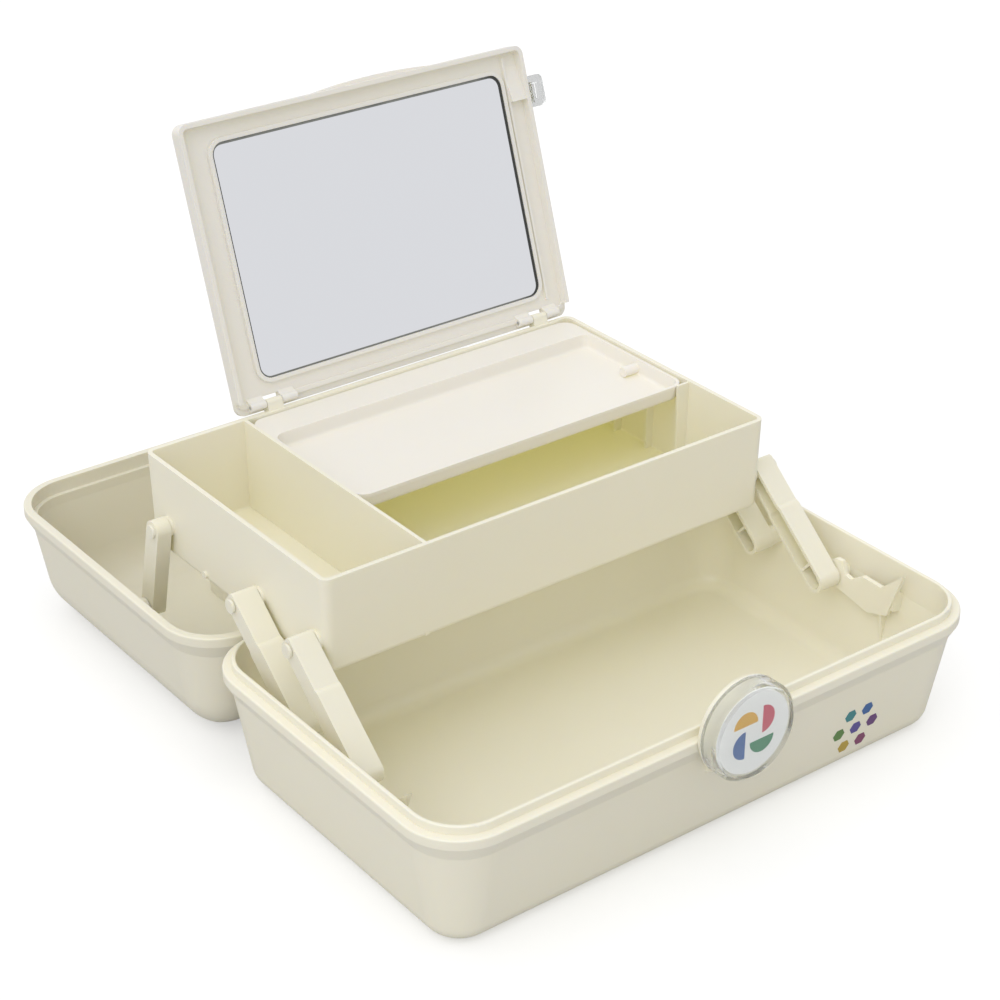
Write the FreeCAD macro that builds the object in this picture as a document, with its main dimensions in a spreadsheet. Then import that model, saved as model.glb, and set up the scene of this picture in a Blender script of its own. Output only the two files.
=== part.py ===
"""Clamshell make-up case: cantilever tray, flip-up mirror lid, disc latch and folding carry handle.

Frame: X to the right, Y to the back, Z up, millimetres. The case stands open flat: the base is in front
of the hinge line and the lid lies upside down behind it, both on z = 0. The origin is the centre of the
footprint.
"""

import FreeCAD, Part
import os
from math import atan, cos, degrees, radians, sin, sqrt
from types import SimpleNamespace

import Sketcher

DRIVING_SIZES = [
    # the two shells
    ("case_width", 330.0, "width of the case over its rims"),
    ("shell_reach", 198.9, "hinge axis to the far rim of either shell"),
    ("rim_gap", 1.5, "hinge axis to the near rim of either shell"),
    ("shell_height", 67.0, "floor to rim of either shell"),
    ("seam_gap", 0.3, "gap between the two rims when the case is shut"),
    ("corner_radius", 30.0, "plan radius of the rim corners"),
    ("band_height", 5.0, "upright band at the rim"),
    ("flare_height", 8.0, "height of the flare under the band"),
    ("flare_reach", 4.2, "how far the rim stands out from the wall"),
    ("wall_lean", 9.4, "inward lean of the walls, degrees"),
    ("wall", 2.4, "thickness of the shell walls"),
    ("shell_floor", 2.8, "thickness of the shell floors"),
    ("foot_radius", 11.0, "radius of the edge between wall and floor of the base"),
    ("lid_foot_radius", 26.0, "radius of the edge between wall and floor of the lid"),
    ("rim_round", 0.9, "radius of the rims' outer edges"),
    ("tongue", 2.1, "thickness of the tongue that stands on the base's rim"),
    ("tongue_height", 4.2, "height of the tongue above the rim"),
    ("tongue_gap", 0.3, "gap between the tongue and the lid's rim"),
    ("tongue_round", 0.7, "radius of the tongue's top edges"),
    ("lid_ledge_drop", 7.5, "ledge below the rim inside the lid"),
    # hinge between the shells
    ("knuckle_radius", 3.4, "radius of the hinge knuckles"),
    ("hinge_offset", 95.0, "centre of either hinge from the middle of the case"),
    ("base_knuckle", 18.0, "length of the middle knuckle, on the base"),
    ("lid_knuckle", 9.0, "length of each outer knuckle, on the lid"),
    ("hinge_pin_radius", 1.5, "radius of the hinge pins"),
    ("side_play", 0.4, "sideways gap between knuckles and between ears"),
    ("swing_gap", 0.4, "radial room round a knuckle"),
    ("fit", 0.05, "radial clearance of every pin in its hole"),
    # cantilever arms
    ("arm_length", 66.0, "pivot to pivot of the four base arms"),
    ("arm_open_angle", 40.5, "arm angle from +Y with the case open, degrees"),
    ("arm_shut_angle", 163.5, "arm angle from +Y with the case shut, degrees"),
    ("front_pivot_reach", 108.6, "hinge axis to the base pivot of the front arms"),
    ("pivot_spacing", 49.0, "front pivot to rear pivot, on base and tray alike"),
    ("base_pivot_height", 50.0, "height of the base pivots"),
    ("arm_width", 11.6, "width of the thick part of an arm"),
    ("arm_neck_width", 9.8, "width of the slim part of an arm, next to the tray"),
    ("arm_shoulder", 40.0, "base pivot to the shoulder between the two widths"),
    ("arm_end_corner", 2.2, "corner radius of the base arms' square tray ends"),
    ("arm_thickness", 13.2, "sideways thickness of the base arms"),
    ("arm_wall_gap", 8.2, "outer face of the base arms to the base's side wall"),
    ("arm_web", 3.2, "thickness of the web at the back of an arm's channel"),
    ("arm_rail", 1.8, "thickness of the rails round an arm's channel"),
    ("arm_gap", 1.1, "tray rim to the inner face of the base arms"),
    ("arm_boss_radius", 4.4, "radius of the bosses inside an arm's channel"),
    ("arm_boss_drop", 2.7, "inner face of an arm to the face of its bosses"),
    ("base_boss_drop", 7.0, "inner face of a base arm to the face of the boss at the base"),
    ("cross_rib_reach", 9.0, "base pivot to the cross rib in an arm's channel"),
    ("cross_rib", 1.4, "thickness of the cross rib"),
    ("cross_rib_drop", 1.2, "inner face of an arm to the top of the cross rib"),
    ("arm_pin_radius", 2.5, "radius of every arm pin"),
    ("pin_head_radius", 3.5, "radius of the arm pins' heads"),
    ("pin_head", 1.4, "thickness of the arm pins' heads"),
    ("seat_gap", 0.3, "side gap between an arm and what it swings against"),
    # arms between tray and lid
    ("lid_arm_tray_reach", 74.0, "hinge axis to the tray end of the lid arms"),
    ("lid_arm_tray_height", 93.5, "height of the tray end of the lid arms"),
    ("lid_arm_lean", 13.5, "lean of the open lid arms from upright, degrees"),
    ("lid_arm_width", 11.0, "width of the lid arms"),
    ("lid_arm_thickness", 8.0, "sideways thickness of the lid arms"),
    # arm seats moulded into the shells
    ("post_radius", 5.2, "radius of the posts that carry the arm pins"),
    ("post_bore", 4.0, "depth of the pin holes in the posts"),
    ("rest_gap", 0.8, "gap between an arm and the arm rest beside it"),
    ("rest_plate", 2.6, "thickness of the arm rest beside each front arm"),
    ("rest_rib", 1.8, "thickness of the ribs that tie the arm rest to the wall"),
    # tray
    ("tray_depth", 160.6, "front to back of the tray at its rim"),
    ("tray_back_reach", 93.0, "hinge axis to the back of the open tray"),
    ("tray_top", 128.0, "height of the open tray's rim"),
    ("tray_height", 51.4, "floor to rim of the tray"),
    ("tray_wall", 2.4, "thickness of the tray walls"),
    ("tray_floor", 2.2, "thickness of the tray floor"),
    ("tray_draft", 1.4, "draft of the tray walls, degrees"),
    ("tray_corner", 5.0, "plan radius of the tray corners"),
    ("tray_foot_radius", 3.4, "radius of the tray's bottom edge"),
    ("partition_offset", 77.4, "middle of the case to the middle of the partition"),
    ("partition", 2.0, "thickness of the partition"),
    ("rib_reach", 7.6, "how far the tray's inside ribs stand out from the wall"),
    ("rib", 1.6, "thickness of the tray's inside ribs"),
    ("nub_reach", 52.0, "back of the tray to the round nubs on its sides"),
    ("nub_height", 4.0, "underside of the tray to the middle of the nubs"),
    ("nub_radius", 1.8, "radius of the nubs"),
    ("stud_reach", 19.6, "front of the tray to the stud on its right rim"),
    ("stud_radius", 1.0, "radius of the stud"),
    # shallow tray that rests in the back of the tray
    ("dish_front_reach", 9.5, "hinge axis to the front lip of the shallow tray"),
    ("dish_height", 9.5, "height of the shallow tray"),
    ("dish_drop", 1.4, "shallow tray's rim below the tray's rim"),
    ("dish_wall", 1.8, "thickness of the shallow tray"),
    ("dish_flange", 20.0, "width of the flat flange behind the basin"),
    ("dish_corner", 8.0, "plan radius of the shallow tray's corners"),
    ("dish_draft", 9.0, "draft of the shallow tray's walls, degrees"),
    ("dish_foot_radius", 4.0, "radius of the shallow tray's bottom edge"),
    ("drop_in_gap", 0.4, "gap round the shallow tray"),
    ("peg_reach", 28.0, "hinge axis to the peg in the shallow tray"),
    ("peg_radius", 2.8, "radius of the peg"),
    ("peg_length", 10.0, "length of the peg"),
    # mirror lid
    ("mirror_open_angle", 71.5, "open mirror lid's angle from +Y, degrees"),
    ("mirror_overlap", 1.4, "middle of the partition to the mirror lid's left edge"),
    ("mirror_overhang", 1.0, "side of the tray to the mirror lid's right edge"),
    ("mirror_setback", 15.8, "front of the tray to the shut mirror lid's free edge"),
    ("mirror_axis_back", 2.2, "tray back to the mirror hinge axis"),
    ("mirror_axis_up", 3.2, "tray rim to the mirror hinge axis"),
    ("panel", 2.4, "thickness of the mirror lid's panel"),
    ("panel_lip", 2.4, "thickness of the lip round the panel"),
    ("panel_back", 4.6, "hinge axis to the back of the panel"),
    ("panel_skirt", 3.5, "hinge axis to the panel's edge on the near side of the axis"),
    ("panel_low_lip", 1.2, "height of the lip along the hinge"),
    ("mirror_rest_gap", 0.3, "lip to tray rim with the mirror lid shut"),
    ("glass_left_margin", 18.5, "mirror lid's left edge to the glass"),
    ("glass_right_margin", 16.6, "mirror lid's right edge to the glass"),
    ("glass_near", 12.7, "hinge axis to the glass's near edge"),
    ("glass_far", 133.6, "hinge axis to the glass's far edge"),
    ("glass", 1.5, "thickness of the glass"),
    ("glass_corner", 6.0, "corner radius of the glass"),
    ("bezel", 2.2, "width of the bezel round the glass"),
    ("bezel_gap", 0.8, "gap between glass and bezel"),
    ("bezel_height", 2.0, "height of the bezel above the panel"),
    ("mirror_hinge_inset", 21.0, "mirror lid's side edge to the middle of the hinge near it"),
    ("mirror_knuckle_radius", 2.2, "radius of the mirror lid's knuckles"),
    ("mirror_knuckle", 9.0, "length of each mirror hinge knuckle"),
    ("mirror_pin_radius", 1.0, "radius of the mirror hinge pins"),
    ("lift_centre", 42.0, "middle of the case to the middle of the finger lift"),
    ("lift_width", 86.0, "width of the finger lift"),
    ("lift_rise", 2.0, "how far the finger lift stands out of the free edge"),
    ("lift_lip", 1.6, "how far the finger lift stands above the panel"),
    ("lift_hollow", 2.0, "depth of the hollow in the lid's rim where the finger lift passes"),
    ("lift_hollow_drop", 4.0, "height of that hollow"),
    ("lift_hollow_margin", 4.0, "end of the finger lift to the end of the hollow"),
    ("trough_start", 8.0, "hinge axis to the near end of the side trough"),
    ("trough_wedge_start", 118.0, "hinge axis to the near end of the trough's wedge"),
    ("trough_wedge", 24.0, "length of the trough's wedge"),
    ("trough_rail", 1.4, "thickness of the rail beside the trough"),
    ("clip_near", 112.0, "hinge axis to the near side of the clear clip"),
    ("clip_length", 17.0, "length of the clip along the mirror lid's edge"),
    ("clip_reach", 13.4, "how far the clip stands out of the mirror lid's edge"),
    ("clip_corner", 3.0, "corner radius of the clip's tongue"),
    ("clip_foot", 2.0, "thickness of the clip's foot"),
    ("clip_slot", 2.2, "width of the clip's slot"),
    ("clip_slot_reach", 8.4, "mirror lid's edge to the middle of the clip's slot"),
    ("clip_margin", 4.0, "end of the clip to the end of its slot"),
    # latch
    ("latch_height", 68.7, "height of the latch's centre"),
    ("latch_radius", 25.0, "radius of the latch cover"),
    ("latch_face_radius", 22.6, "radius of the cover's flat face"),
    ("latch_bevel", 2.6, "depth of the bevel round the cover's face"),
    ("latch_cover_depth", 10.0, "thickness of the clear cover"),
    ("latch_cover_wall", 3.0, "wall and face thickness of the clear cover"),
    ("latch_plate", 2.5, "thickness of the latch's back plate"),
    ("latch_gap", 0.6, "back plate to the rims"),
    ("latch_insert", 1.0, "thickness of the printed insert"),
    ("latch_axis_height", 48.5, "height of the latch's hinge axis"),
    ("latch_axis_back", 0.7, "rim to the latch's hinge axis"),
    ("latch_barrel_radius", 3.0, "radius of the latch's barrel and ears"),
    ("latch_barrel", 17.4, "length of the latch's barrel"),
    ("latch_ear", 3.4, "thickness of each ear on the base"),
    ("latch_pin_radius", 1.3, "radius of the latch pin"),
    # carry handle, folded into a tub in the lid's outer face
    ("tub_width", 148.0, "width of the handle tub"),
    ("tub_near", 80.0, "hinge axis to the near side of the tub"),
    ("tub_far", 146.0, "hinge axis to the far side of the tub"),
    ("tub_depth", 10.4, "depth of the handle tub"),
    ("tub_corner", 9.0, "corner radius of the tub"),
    ("tub_skin", 2.4, "thickness of the tub's walls"),
    ("handle_side_gap", 2.5, "tub wall to the handle's leg"),
    ("handle_axis", 89.0, "hinge axis to the handle's own axis"),
    ("handle_grip", 130.0, "hinge axis to the middle of the grip"),
    ("grip_width", 15.0, "width of the grip"),
    ("leg_width", 12.0, "width of the handle's legs"),
    ("handle_thickness", 8.4, "thickness of the handle"),
    ("handle_sunk", 1.0, "handle's face below the lid's face"),
    ("handle_round", 2.6, "radius of the handle's edges"),
    ("handle_pin_radius", 1.8, "radius of the handle pins"),
    ("pin_cover", 0.6, "skin left over the outer ends of the handle pins' holes"),
]


class Size:
    """A length or an angle, together with the spreadsheet formula that gives it."""

    def __init__(self, value, formula):
        self.value = float(value)
        self.formula = formula

    @staticmethod
    def of(thing):
        return thing if isinstance(thing, Size) else Size(thing, repr(float(thing)))

    def __add__(self, other):
        other = Size.of(other)
        return Size(self.value + other.value, f"({self.formula} + {other.formula})")

    def __sub__(self, other):
        other = Size.of(other)
        return Size(self.value - other.value, f"({self.formula} - {other.formula})")

    def __mul__(self, other):
        other = Size.of(other)
        return Size(self.value * other.value, f"({self.formula} * {other.formula})")

    def __truediv__(self, other):
        other = Size.of(other)
        return Size(self.value / other.value, f"({self.formula} / {other.formula})")

    def __radd__(self, other):
        return Size.of(other) + self

    def __rsub__(self, other):
        return Size.of(other) - self

    def __rmul__(self, other):
        return Size.of(other) * self

    def __neg__(self):
        return Size(-self.value, f"(-1 * {self.formula})")

    def sin(self):
        return Size(sin(radians(self.value)), f"sin({self.formula} * 1 deg)")

    def cos(self):
        return Size(cos(radians(self.value)), f"cos({self.formula} * 1 deg)")

    def tan(self):
        return self.sin() / self.cos()

    def slope(self, run):
        """The angle, in degrees, whose tangent is this size over the run."""
        run = Size.of(run)
        angle = degrees(atan(self.value / run.value))
        return Size(angle, f"(atan({self.formula} / {run.formula}) / 1 deg)")


document = FreeCAD.newDocument("MakeupCase")
sheet = document.addObject("Spreadsheet::Sheet", "Sizes")
for row, (alias, value, meaning) in enumerate(DRIVING_SIZES, start=1):
    sheet.set(f"A{row}", str(value))
    sheet.setAlias(f"A{row}", alias)
    sheet.set(f"B{row}", meaning)
document.recompute()
d = SimpleNamespace(**{alias: Size(value, f"Sizes.{alias}") for alias, value, meaning in DRIVING_SIZES})

# ---------------------------------------------------------------- places worked out from the driving sizes

HANDS = ((-1, "left"), (1, "right"))

latch_stand = d.latch_gap + d.latch_plate + d.latch_cover_depth
hinge_y = latch_stand / 2
hinge_z = d.shell_height + d.seam_gap / 2
half_width = d.case_width / 2
flare_bottom = d.shell_height - d.band_height - d.flare_height
lean = d.wall_lean.tan()


def wall_inset(height):
    """How far the outside of a shell's wall lies inside the rim at a height below the flare."""
    return d.flare_reach + (flare_bottom - height) * lean


front_pivot_y = hinge_y - d.front_pivot_reach
rear_pivot_y = front_pivot_y + d.pivot_spacing
arm_run = d.arm_length * d.arm_open_angle.cos()
arm_rise = d.arm_length * d.arm_open_angle.sin()
tray_pivot_z = d.base_pivot_height + arm_rise

arm_outer = half_width - wall_inset(d.base_pivot_height) - d.wall - d.arm_wall_gap
arm_inner = arm_outer - d.arm_thickness
tray_half = arm_inner - d.arm_gap
tray_back = hinge_y + d.tray_back_reach
tray_front = tray_back - d.tray_depth
tray_bottom = d.tray_top - d.tray_height
lid_arm_outer = arm_inner + d.lid_arm_thickness

# The lid arm's length is the one that lets it join tray and lid both with the case open and with it shut.
shut_run = d.arm_length * (d.arm_shut_angle.cos() - d.arm_open_angle.cos())
shut_rise = d.arm_length * (d.arm_shut_angle.sin() - d.arm_open_angle.sin())
lid_arm_top_y = hinge_y + d.lid_arm_tray_reach
lid_arm_top_z = d.lid_arm_tray_height
span_y = 2 * d.lid_arm_tray_reach + shut_run
span_z = 2 * (lid_arm_top_z - hinge_z) + shut_rise
lid_arm_length = (span_y * span_y + span_z * span_z) / (
    2 * (span_z * d.lid_arm_lean.cos() - span_y * d.lid_arm_lean.sin())
)
lid_pivot_y = lid_arm_top_y + lid_arm_length * d.lid_arm_lean.sin()
lid_pivot_z = lid_arm_top_z - lid_arm_length * d.lid_arm_lean.cos()

mirror_y = tray_back + d.mirror_axis_back
mirror_z = d.tray_top + d.mirror_axis_up
mirror_left = d.partition_offset + d.mirror_overlap
mirror_right = tray_half + d.mirror_overhang
mirror_length = d.tray_depth + d.mirror_axis_back - d.mirror_setback
glass_left = mirror_left - d.glass_left_margin
glass_right = mirror_right - d.glass_right_margin

latch_back_y = hinge_y - d.shell_reach - d.latch_gap
latch_axis_y = hinge_y - d.shell_reach + d.latch_axis_back

handle_axis_y = hinge_y + d.handle_axis
handle_axis_z = d.handle_sunk + d.handle_thickness / 2
leg_outer = d.tub_width / 2 - d.handle_side_gap

# ---------------------------------------------------------------- small modelling vocabulary

NORMAL_SIGN = {"XY_Plane": 1, "XZ_Plane": -1, "YZ_Plane": 1}
pieces = []


def bind(thing, path, size):
    """Sets a property from a Size, so that it follows the spreadsheet."""
    thing.setExpression(path, Size.of(size).formula)


def new_body(label, x=0, y=0, z=0, turn=0):
    """A body whose own origin stands at (x, y, z), turned about X."""
    body = document.addObject("PartDesign::Body", label)
    body.Label = label
    turn = Size.of(turn)
    base = FreeCAD.Vector(Size.of(x).value, Size.of(y).value, Size.of(z).value)
    body.Placement = FreeCAD.Placement(base, FreeCAD.Rotation(FreeCAD.Vector(1, 0, 0), turn.value))
    for axis, size in (("x", x), ("y", y), ("z", z)):
        if isinstance(size, Size):
            bind(body, f"Placement.Base.{axis}", size)
    if turn.value:
        body.setExpression("Placement.Rotation.Angle", f"{turn.formula} * 1 deg")
    return body


def sketch_on(body, name, role, offset=0):
    """A sketch on one of the body's origin planes, moved along that plane's positive axis."""
    plane = next(part for part in body.Origin.OriginFeatures if part.Role == role)
    sketch = body.newObject("Sketcher::SketchObject", name)
    sketch.AttachmentSupport = [(plane, "")]
    sketch.MapMode = "FlatFace"
    bind(sketch, "AttachmentOffset.Base.z", Size.of(offset) * NORMAL_SIGN[role])
    return sketch


def hold(sketch, geometry, end, x, y):
    """Pins a point of a sketch at bound coordinates."""
    for kind, size in (("DistanceX", Size.of(x)), ("DistanceY", Size.of(y))):
        number = sketch.addConstraint(Sketcher.Constraint(kind, -1, 1, geometry, end, size.value))
        bind(sketch, f"Constraints[{number}]", size)


def hold_radius(sketch, geometry, radius):
    number = sketch.addConstraint(Sketcher.Constraint("Radius", geometry, Size.of(radius).value))
    bind(sketch, f"Constraints[{number}]", radius)


def outline(sketch, points):
    """A closed outline of straight lines through bound points."""
    first = sketch.GeometryCount
    places = [FreeCAD.Vector(Size.of(x).value, Size.of(y).value, 0) for x, y in points]
    count = len(points)
    for number in range(count):
        sketch.addGeometry(Part.LineSegment(places[number], places[(number + 1) % count]))
    for number in range(count):
        joint = (first + number, 2, first + (number + 1) % count, 1)
        sketch.addConstraint(Sketcher.Constraint("Coincident", *joint))
    for number, (x, y) in enumerate(points):
        hold(sketch, first + number, 1, x, y)


def circle(sketch, x, y, radius):
    centre = FreeCAD.Vector(Size.of(x).value, Size.of(y).value, 0)
    number = sketch.addGeometry(Part.Circle(centre, FreeCAD.Vector(0, 0, 1), Size.of(radius).value))
    hold(sketch, number, 3, x, y)
    hold_radius(sketch, number, radius)


def arc(sketch, centre, radius, start, end):
    """An arc of a circle from one angle to another, in degrees."""
    circle_shape = Part.Circle(FreeCAD.Vector(*centre, 0), FreeCAD.Vector(0, 0, 1), radius)
    return sketch.addGeometry(Part.ArcOfCircle(circle_shape, radians(start), radians(end)))


def rounded_rectangle(sketch, x_low, x_high, y_low, y_high, radius):
    """A rectangle with four equal round corners: sides tied tangent to arcs."""
    left, right, low, high, r = (Size.of(v).value for v in (x_low, x_high, y_low, y_high, radius))
    vector = FreeCAD.Vector
    corners = (
        (right - r, low + r, 270),
        (right - r, high - r, 0),
        (left + r, high - r, 90),
        (left + r, low + r, 180),
    )
    sides = (
        (vector(left + r, low, 0), vector(right - r, low, 0)),
        (vector(right, low + r, 0), vector(right, high - r, 0)),
        (vector(right - r, high, 0), vector(left + r, high, 0)),
        (vector(left, high - r, 0), vector(left, low + r, 0)),
    )
    lines = []
    arcs = []
    for (start, end), (x, y, angle) in zip(sides, corners):
        lines.append(sketch.addGeometry(Part.LineSegment(start, end)))
        arcs.append(arc(sketch, (x, y), r, angle, angle + 90))
    for number in range(4):
        sketch.addConstraint(Sketcher.Constraint("Tangent", lines[number], 2, arcs[number], 1))
        sketch.addConstraint(Sketcher.Constraint("Tangent", arcs[number], 2, lines[(number + 1) % 4], 1))
    for number in range(1, 4):
        sketch.addConstraint(Sketcher.Constraint("Equal", arcs[0], arcs[number]))
    sketch.addConstraint(Sketcher.Constraint("Horizontal", lines[0]))
    sketch.addConstraint(Sketcher.Constraint("Vertical", lines[1]))
    for kind, line, size in (
        ("DistanceY", lines[0], y_low),
        ("DistanceX", lines[1], x_high),
        ("DistanceY", lines[2], y_high),
        ("DistanceX", lines[3], x_low),
    ):
        number = sketch.addConstraint(Sketcher.Constraint(kind, -1, 1, line, 1, Size.of(size).value))
        bind(sketch, f"Constraints[{number}]", size)
    hold_radius(sketch, arcs[0], radius)


def link_outline(sketch, x_start, x_end, radius, height=0):
    """A slot-shaped outline along the sketch's X, round about both ends."""
    start, end, r, y = (Size.of(v).value for v in (x_start, x_end, radius, height))
    vector = FreeCAD.Vector
    near = arc(sketch, (start, y), r, 90, 270)
    low = sketch.addGeometry(Part.LineSegment(vector(start, y - r, 0), vector(end, y - r, 0)))
    far = arc(sketch, (end, y), r, -90, 90)
    high = sketch.addGeometry(Part.LineSegment(vector(end, y + r, 0), vector(start, y + r, 0)))
    for one, other in ((near, low), (low, far), (far, high), (high, near)):
        sketch.addConstraint(Sketcher.Constraint("Tangent", one, 2, other, 1))
    hold(sketch, near, 3, x_start, height)
    hold_radius(sketch, near, radius)
    number = sketch.addConstraint(Sketcher.Constraint("DistanceX", -1, 1, far, 3, end))
    bind(sketch, f"Constraints[{number}]", x_end)
    sketch.addConstraint(Sketcher.Constraint("Horizontal", low))


def feature(body, kind, name, sketch, length, towards, taper=None):
    """A pad or pocket from a sketch, towards +1 or -1 along the sketch plane's positive axis."""
    made = body.newObject(f"PartDesign::{kind}", name)
    made.Profile = sketch
    bind(made, "Length", length)
    along_normal = towards * NORMAL_SIGN[sketch.AttachmentSupport[0][0].Role] > 0
    made.Reversed = along_normal if kind == "Pocket" else not along_normal
    if taper is not None:
        bind(made, "TaperAngle", taper)
    return made


def pad(body, name, sketch, length, towards=1, taper=None):
    return feature(body, "Pad", name, sketch, length, towards, taper)


def pocket(body, name, sketch, length, towards=-1, taper=None):
    return feature(body, "Pocket", name, sketch, length, towards, taper)


def fillet(body, name, radius, wanted):
    """Rounds the edges of the body so far that pass a test."""
    document.recompute()
    base = body.Tip
    names = [f"Edge{number}" for number, edge in enumerate(base.Shape.Edges, start=1) if wanted(edge)]
    if not names:
        raise RuntimeError(f"{body.Label}: no edge for {name}")
    made = body.newObject("PartDesign::Fillet", name)
    made.Base = (base, names)
    bind(made, "Radius", radius)
    return made


def level_at(height):
    """A test for edges that lie flat at a height of the body's own frame."""
    def wanted(edge):
        box = edge.BoundBox
        return abs(box.ZMin - Size.of(height).value) < 0.01 and abs(box.ZMax - Size.of(height).value) < 0.01
    return wanted


def finish(thing, label):
    thing.Label = label
    pieces.append(thing)
    return thing


def cylinder(name, radius, length, x, y, z):
    """A cylinder that starts at (x, y, z) and runs along +X."""
    made = document.addObject("Part::Cylinder", name)
    bind(made, "Radius", radius)
    bind(made, "Height", length)
    turn = FreeCAD.Rotation(FreeCAD.Vector(0, 1, 0), 90)
    place = FreeCAD.Vector(*(Size.of(v).value for v in (x, y, z)))
    made.Placement = FreeCAD.Placement(place, turn)
    for letter, size in (("x", x), ("y", y), ("z", z)):
        bind(made, f"Placement.Base.{letter}", size)
    return made


def pin_along_x(name, radius, x_from, x_to, y, z):
    """A plain pin between two places on a line along X."""
    low, high = (x_from, x_to) if Size.of(x_from).value < Size.of(x_to).value else (x_to, x_from)
    return cylinder(name, radius, high - low, low, y, z)


def headed_pin(name, hand, shank_end, head_start, y, z, head_outwards):
    """An arm pin: a shank from shank_end to the head's start at head_start, as distances from x = 0."""
    head_end = head_start + d.pin_head if head_outwards else head_start - d.pin_head
    shank = pin_along_x(f"{name}_shank", d.arm_pin_radius, hand * shank_end, hand * head_start, y, z)
    head = pin_along_x(f"{name}_head", d.pin_head_radius, hand * head_start, hand * head_end, y, z)
    pin = document.addObject("Part::Fuse", name)
    pin.Base = shank
    pin.Tool = head
    return pin


def group(label, solids):
    """Several equal solids that share one node."""
    made = document.addObject("Part::Compound", label)
    made.Links = solids
    return finish(made, label)


# ---------------------------------------------------------------- the two shells


def shell_outline(sketch, behind, inset):
    """The rim's rounded rectangle, moved inwards by an inset; behind is True for the lid."""
    if behind:
        y_low = hinge_y + d.rim_gap + inset
        y_high = hinge_y + d.shell_reach - inset
    else:
        y_low = hinge_y - d.shell_reach + inset
        y_high = hinge_y - d.rim_gap - inset
    rounded_rectangle(sketch, inset - half_width, half_width - inset, y_low, y_high, d.corner_radius - inset)


def shell(label, behind):
    """A moulded half of the case: leaning walls, soft foot, flared rim and an open inside."""
    body = new_body(label)
    wall = sketch_on(body, f"{label}_wall_outline", "XY_Plane", flare_bottom)
    shell_outline(wall, behind, d.flare_reach)
    pad(body, f"{label}_wall", wall, flare_bottom, -1, -d.wall_lean)
    flare = sketch_on(body, f"{label}_flare_outline", "XY_Plane", d.shell_height - d.band_height)
    shell_outline(flare, behind, Size.of(0))
    pad(body, f"{label}_flare", flare, d.flare_height, -1, -d.flare_reach.slope(d.flare_height))
    band = sketch_on(body, f"{label}_band_outline", "XY_Plane", d.shell_height)
    shell_outline(band, behind, Size.of(0))
    pad(body, f"{label}_band", band, d.band_height, -1)
    fillet(body, f"{label}_rim_edge", d.rim_round, level_at(d.shell_height))
    inside = d.flare_reach + d.wall
    if not behind:
        tongue = sketch_on(body, f"{label}_tongue_outline", "XY_Plane", d.shell_height)
        shell_outline(tongue, behind, inside - d.tongue)
        pad(body, f"{label}_tongue", tongue, d.tongue_height, 1)
    mouth = sketch_on(body, f"{label}_mouth_outline", "XY_Plane", flare_bottom)
    shell_outline(mouth, behind, inside)
    pocket(body, f"{label}_mouth", mouth, d.shell_height + d.tongue_height - flare_bottom, 1)
    cavity = sketch_on(body, f"{label}_cavity_outline", "XY_Plane", flare_bottom)
    shell_outline(cavity, behind, inside)
    pocket(body, f"{label}_cavity", cavity, flare_bottom - d.shell_floor, -1, -d.wall_lean)
    foot = d.lid_foot_radius if behind else d.foot_radius
    fillet(body, f"{label}_inner_foot", foot - d.wall, level_at(d.shell_floor))
    fillet(body, f"{label}_foot", foot, level_at(0))
    if behind:
        ledge = sketch_on(body, f"{label}_ledge_outline", "XY_Plane", d.shell_height)
        shell_outline(ledge, behind, inside - d.tongue - d.tongue_gap)
        pocket(body, f"{label}_ledge", ledge, d.lid_ledge_drop, -1)
    else:
        fillet(body, f"{label}_tongue_edge", d.tongue_round, level_at(d.shell_height + d.tongue_height))
    return body


def knuckle_stretches(on_base):
    """Start and length of the knuckles on one shell, from the middle of a hinge."""
    if on_base:
        return ((-d.base_knuckle / 2, d.base_knuckle),)
    outer_start = d.base_knuckle / 2 + d.side_play
    return ((-outer_start - d.lid_knuckle, d.lid_knuckle), (outer_start, d.lid_knuckle))


def add_knuckles(body, on_base):
    """Clears the other shell's knuckles out of the rim, then adds this shell's own, bored for the pins."""
    for hand, side in HANDS:
        middle = hand * d.hinge_offset
        for number, (start, length) in enumerate(knuckle_stretches(not on_base)):
            name = f"{body.Label}_{side}_room_{number}"
            room = sketch_on(body, f"{name}_outline", "YZ_Plane", middle + start - d.side_play)
            circle(room, hinge_y, hinge_z, d.knuckle_radius + d.swing_gap)
            pocket(body, name, room, length + 2 * d.side_play, 1)
        for number, (start, length) in enumerate(knuckle_stretches(on_base)):
            name = f"{body.Label}_{side}_knuckle_{number}"
            ring = sketch_on(body, f"{name}_outline", "YZ_Plane", middle + start)
            circle(ring, hinge_y, hinge_z, d.knuckle_radius)
            pad(body, name, ring, length, 1)
            bore = sketch_on(body, f"{name}_bore_outline", "YZ_Plane", middle + start)
            circle(bore, hinge_y, hinge_z, d.hinge_pin_radius + d.fit)
            pocket(body, f"{name}_bore", bore, length, 1)


def add_post(body, name, hand, face, y, z):
    """A round post from the side wall to an arm's outer face, bored for the arm's pin."""
    foot = half_width - wall_inset(z) - d.wall / 2
    post = sketch_on(body, f"{name}_outline", "YZ_Plane", hand * face)
    circle(post, y, z, d.post_radius)
    pad(body, name, post, foot - face, hand)
    bore = sketch_on(body, f"{name}_bore_outline", "YZ_Plane", hand * face)
    circle(bore, y, z, d.arm_pin_radius + d.fit)
    pocket(body, f"{name}_bore", bore, d.post_bore, hand)

post_face = arm_outer + d.seat_gap
lid_post_face = lid_arm_outer + d.seat_gap


def wall_middle(height):
    """Distance from x = 0 to the middle of a side wall at a height."""
    return half_width - wall_inset(height) - d.wall / 2


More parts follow.
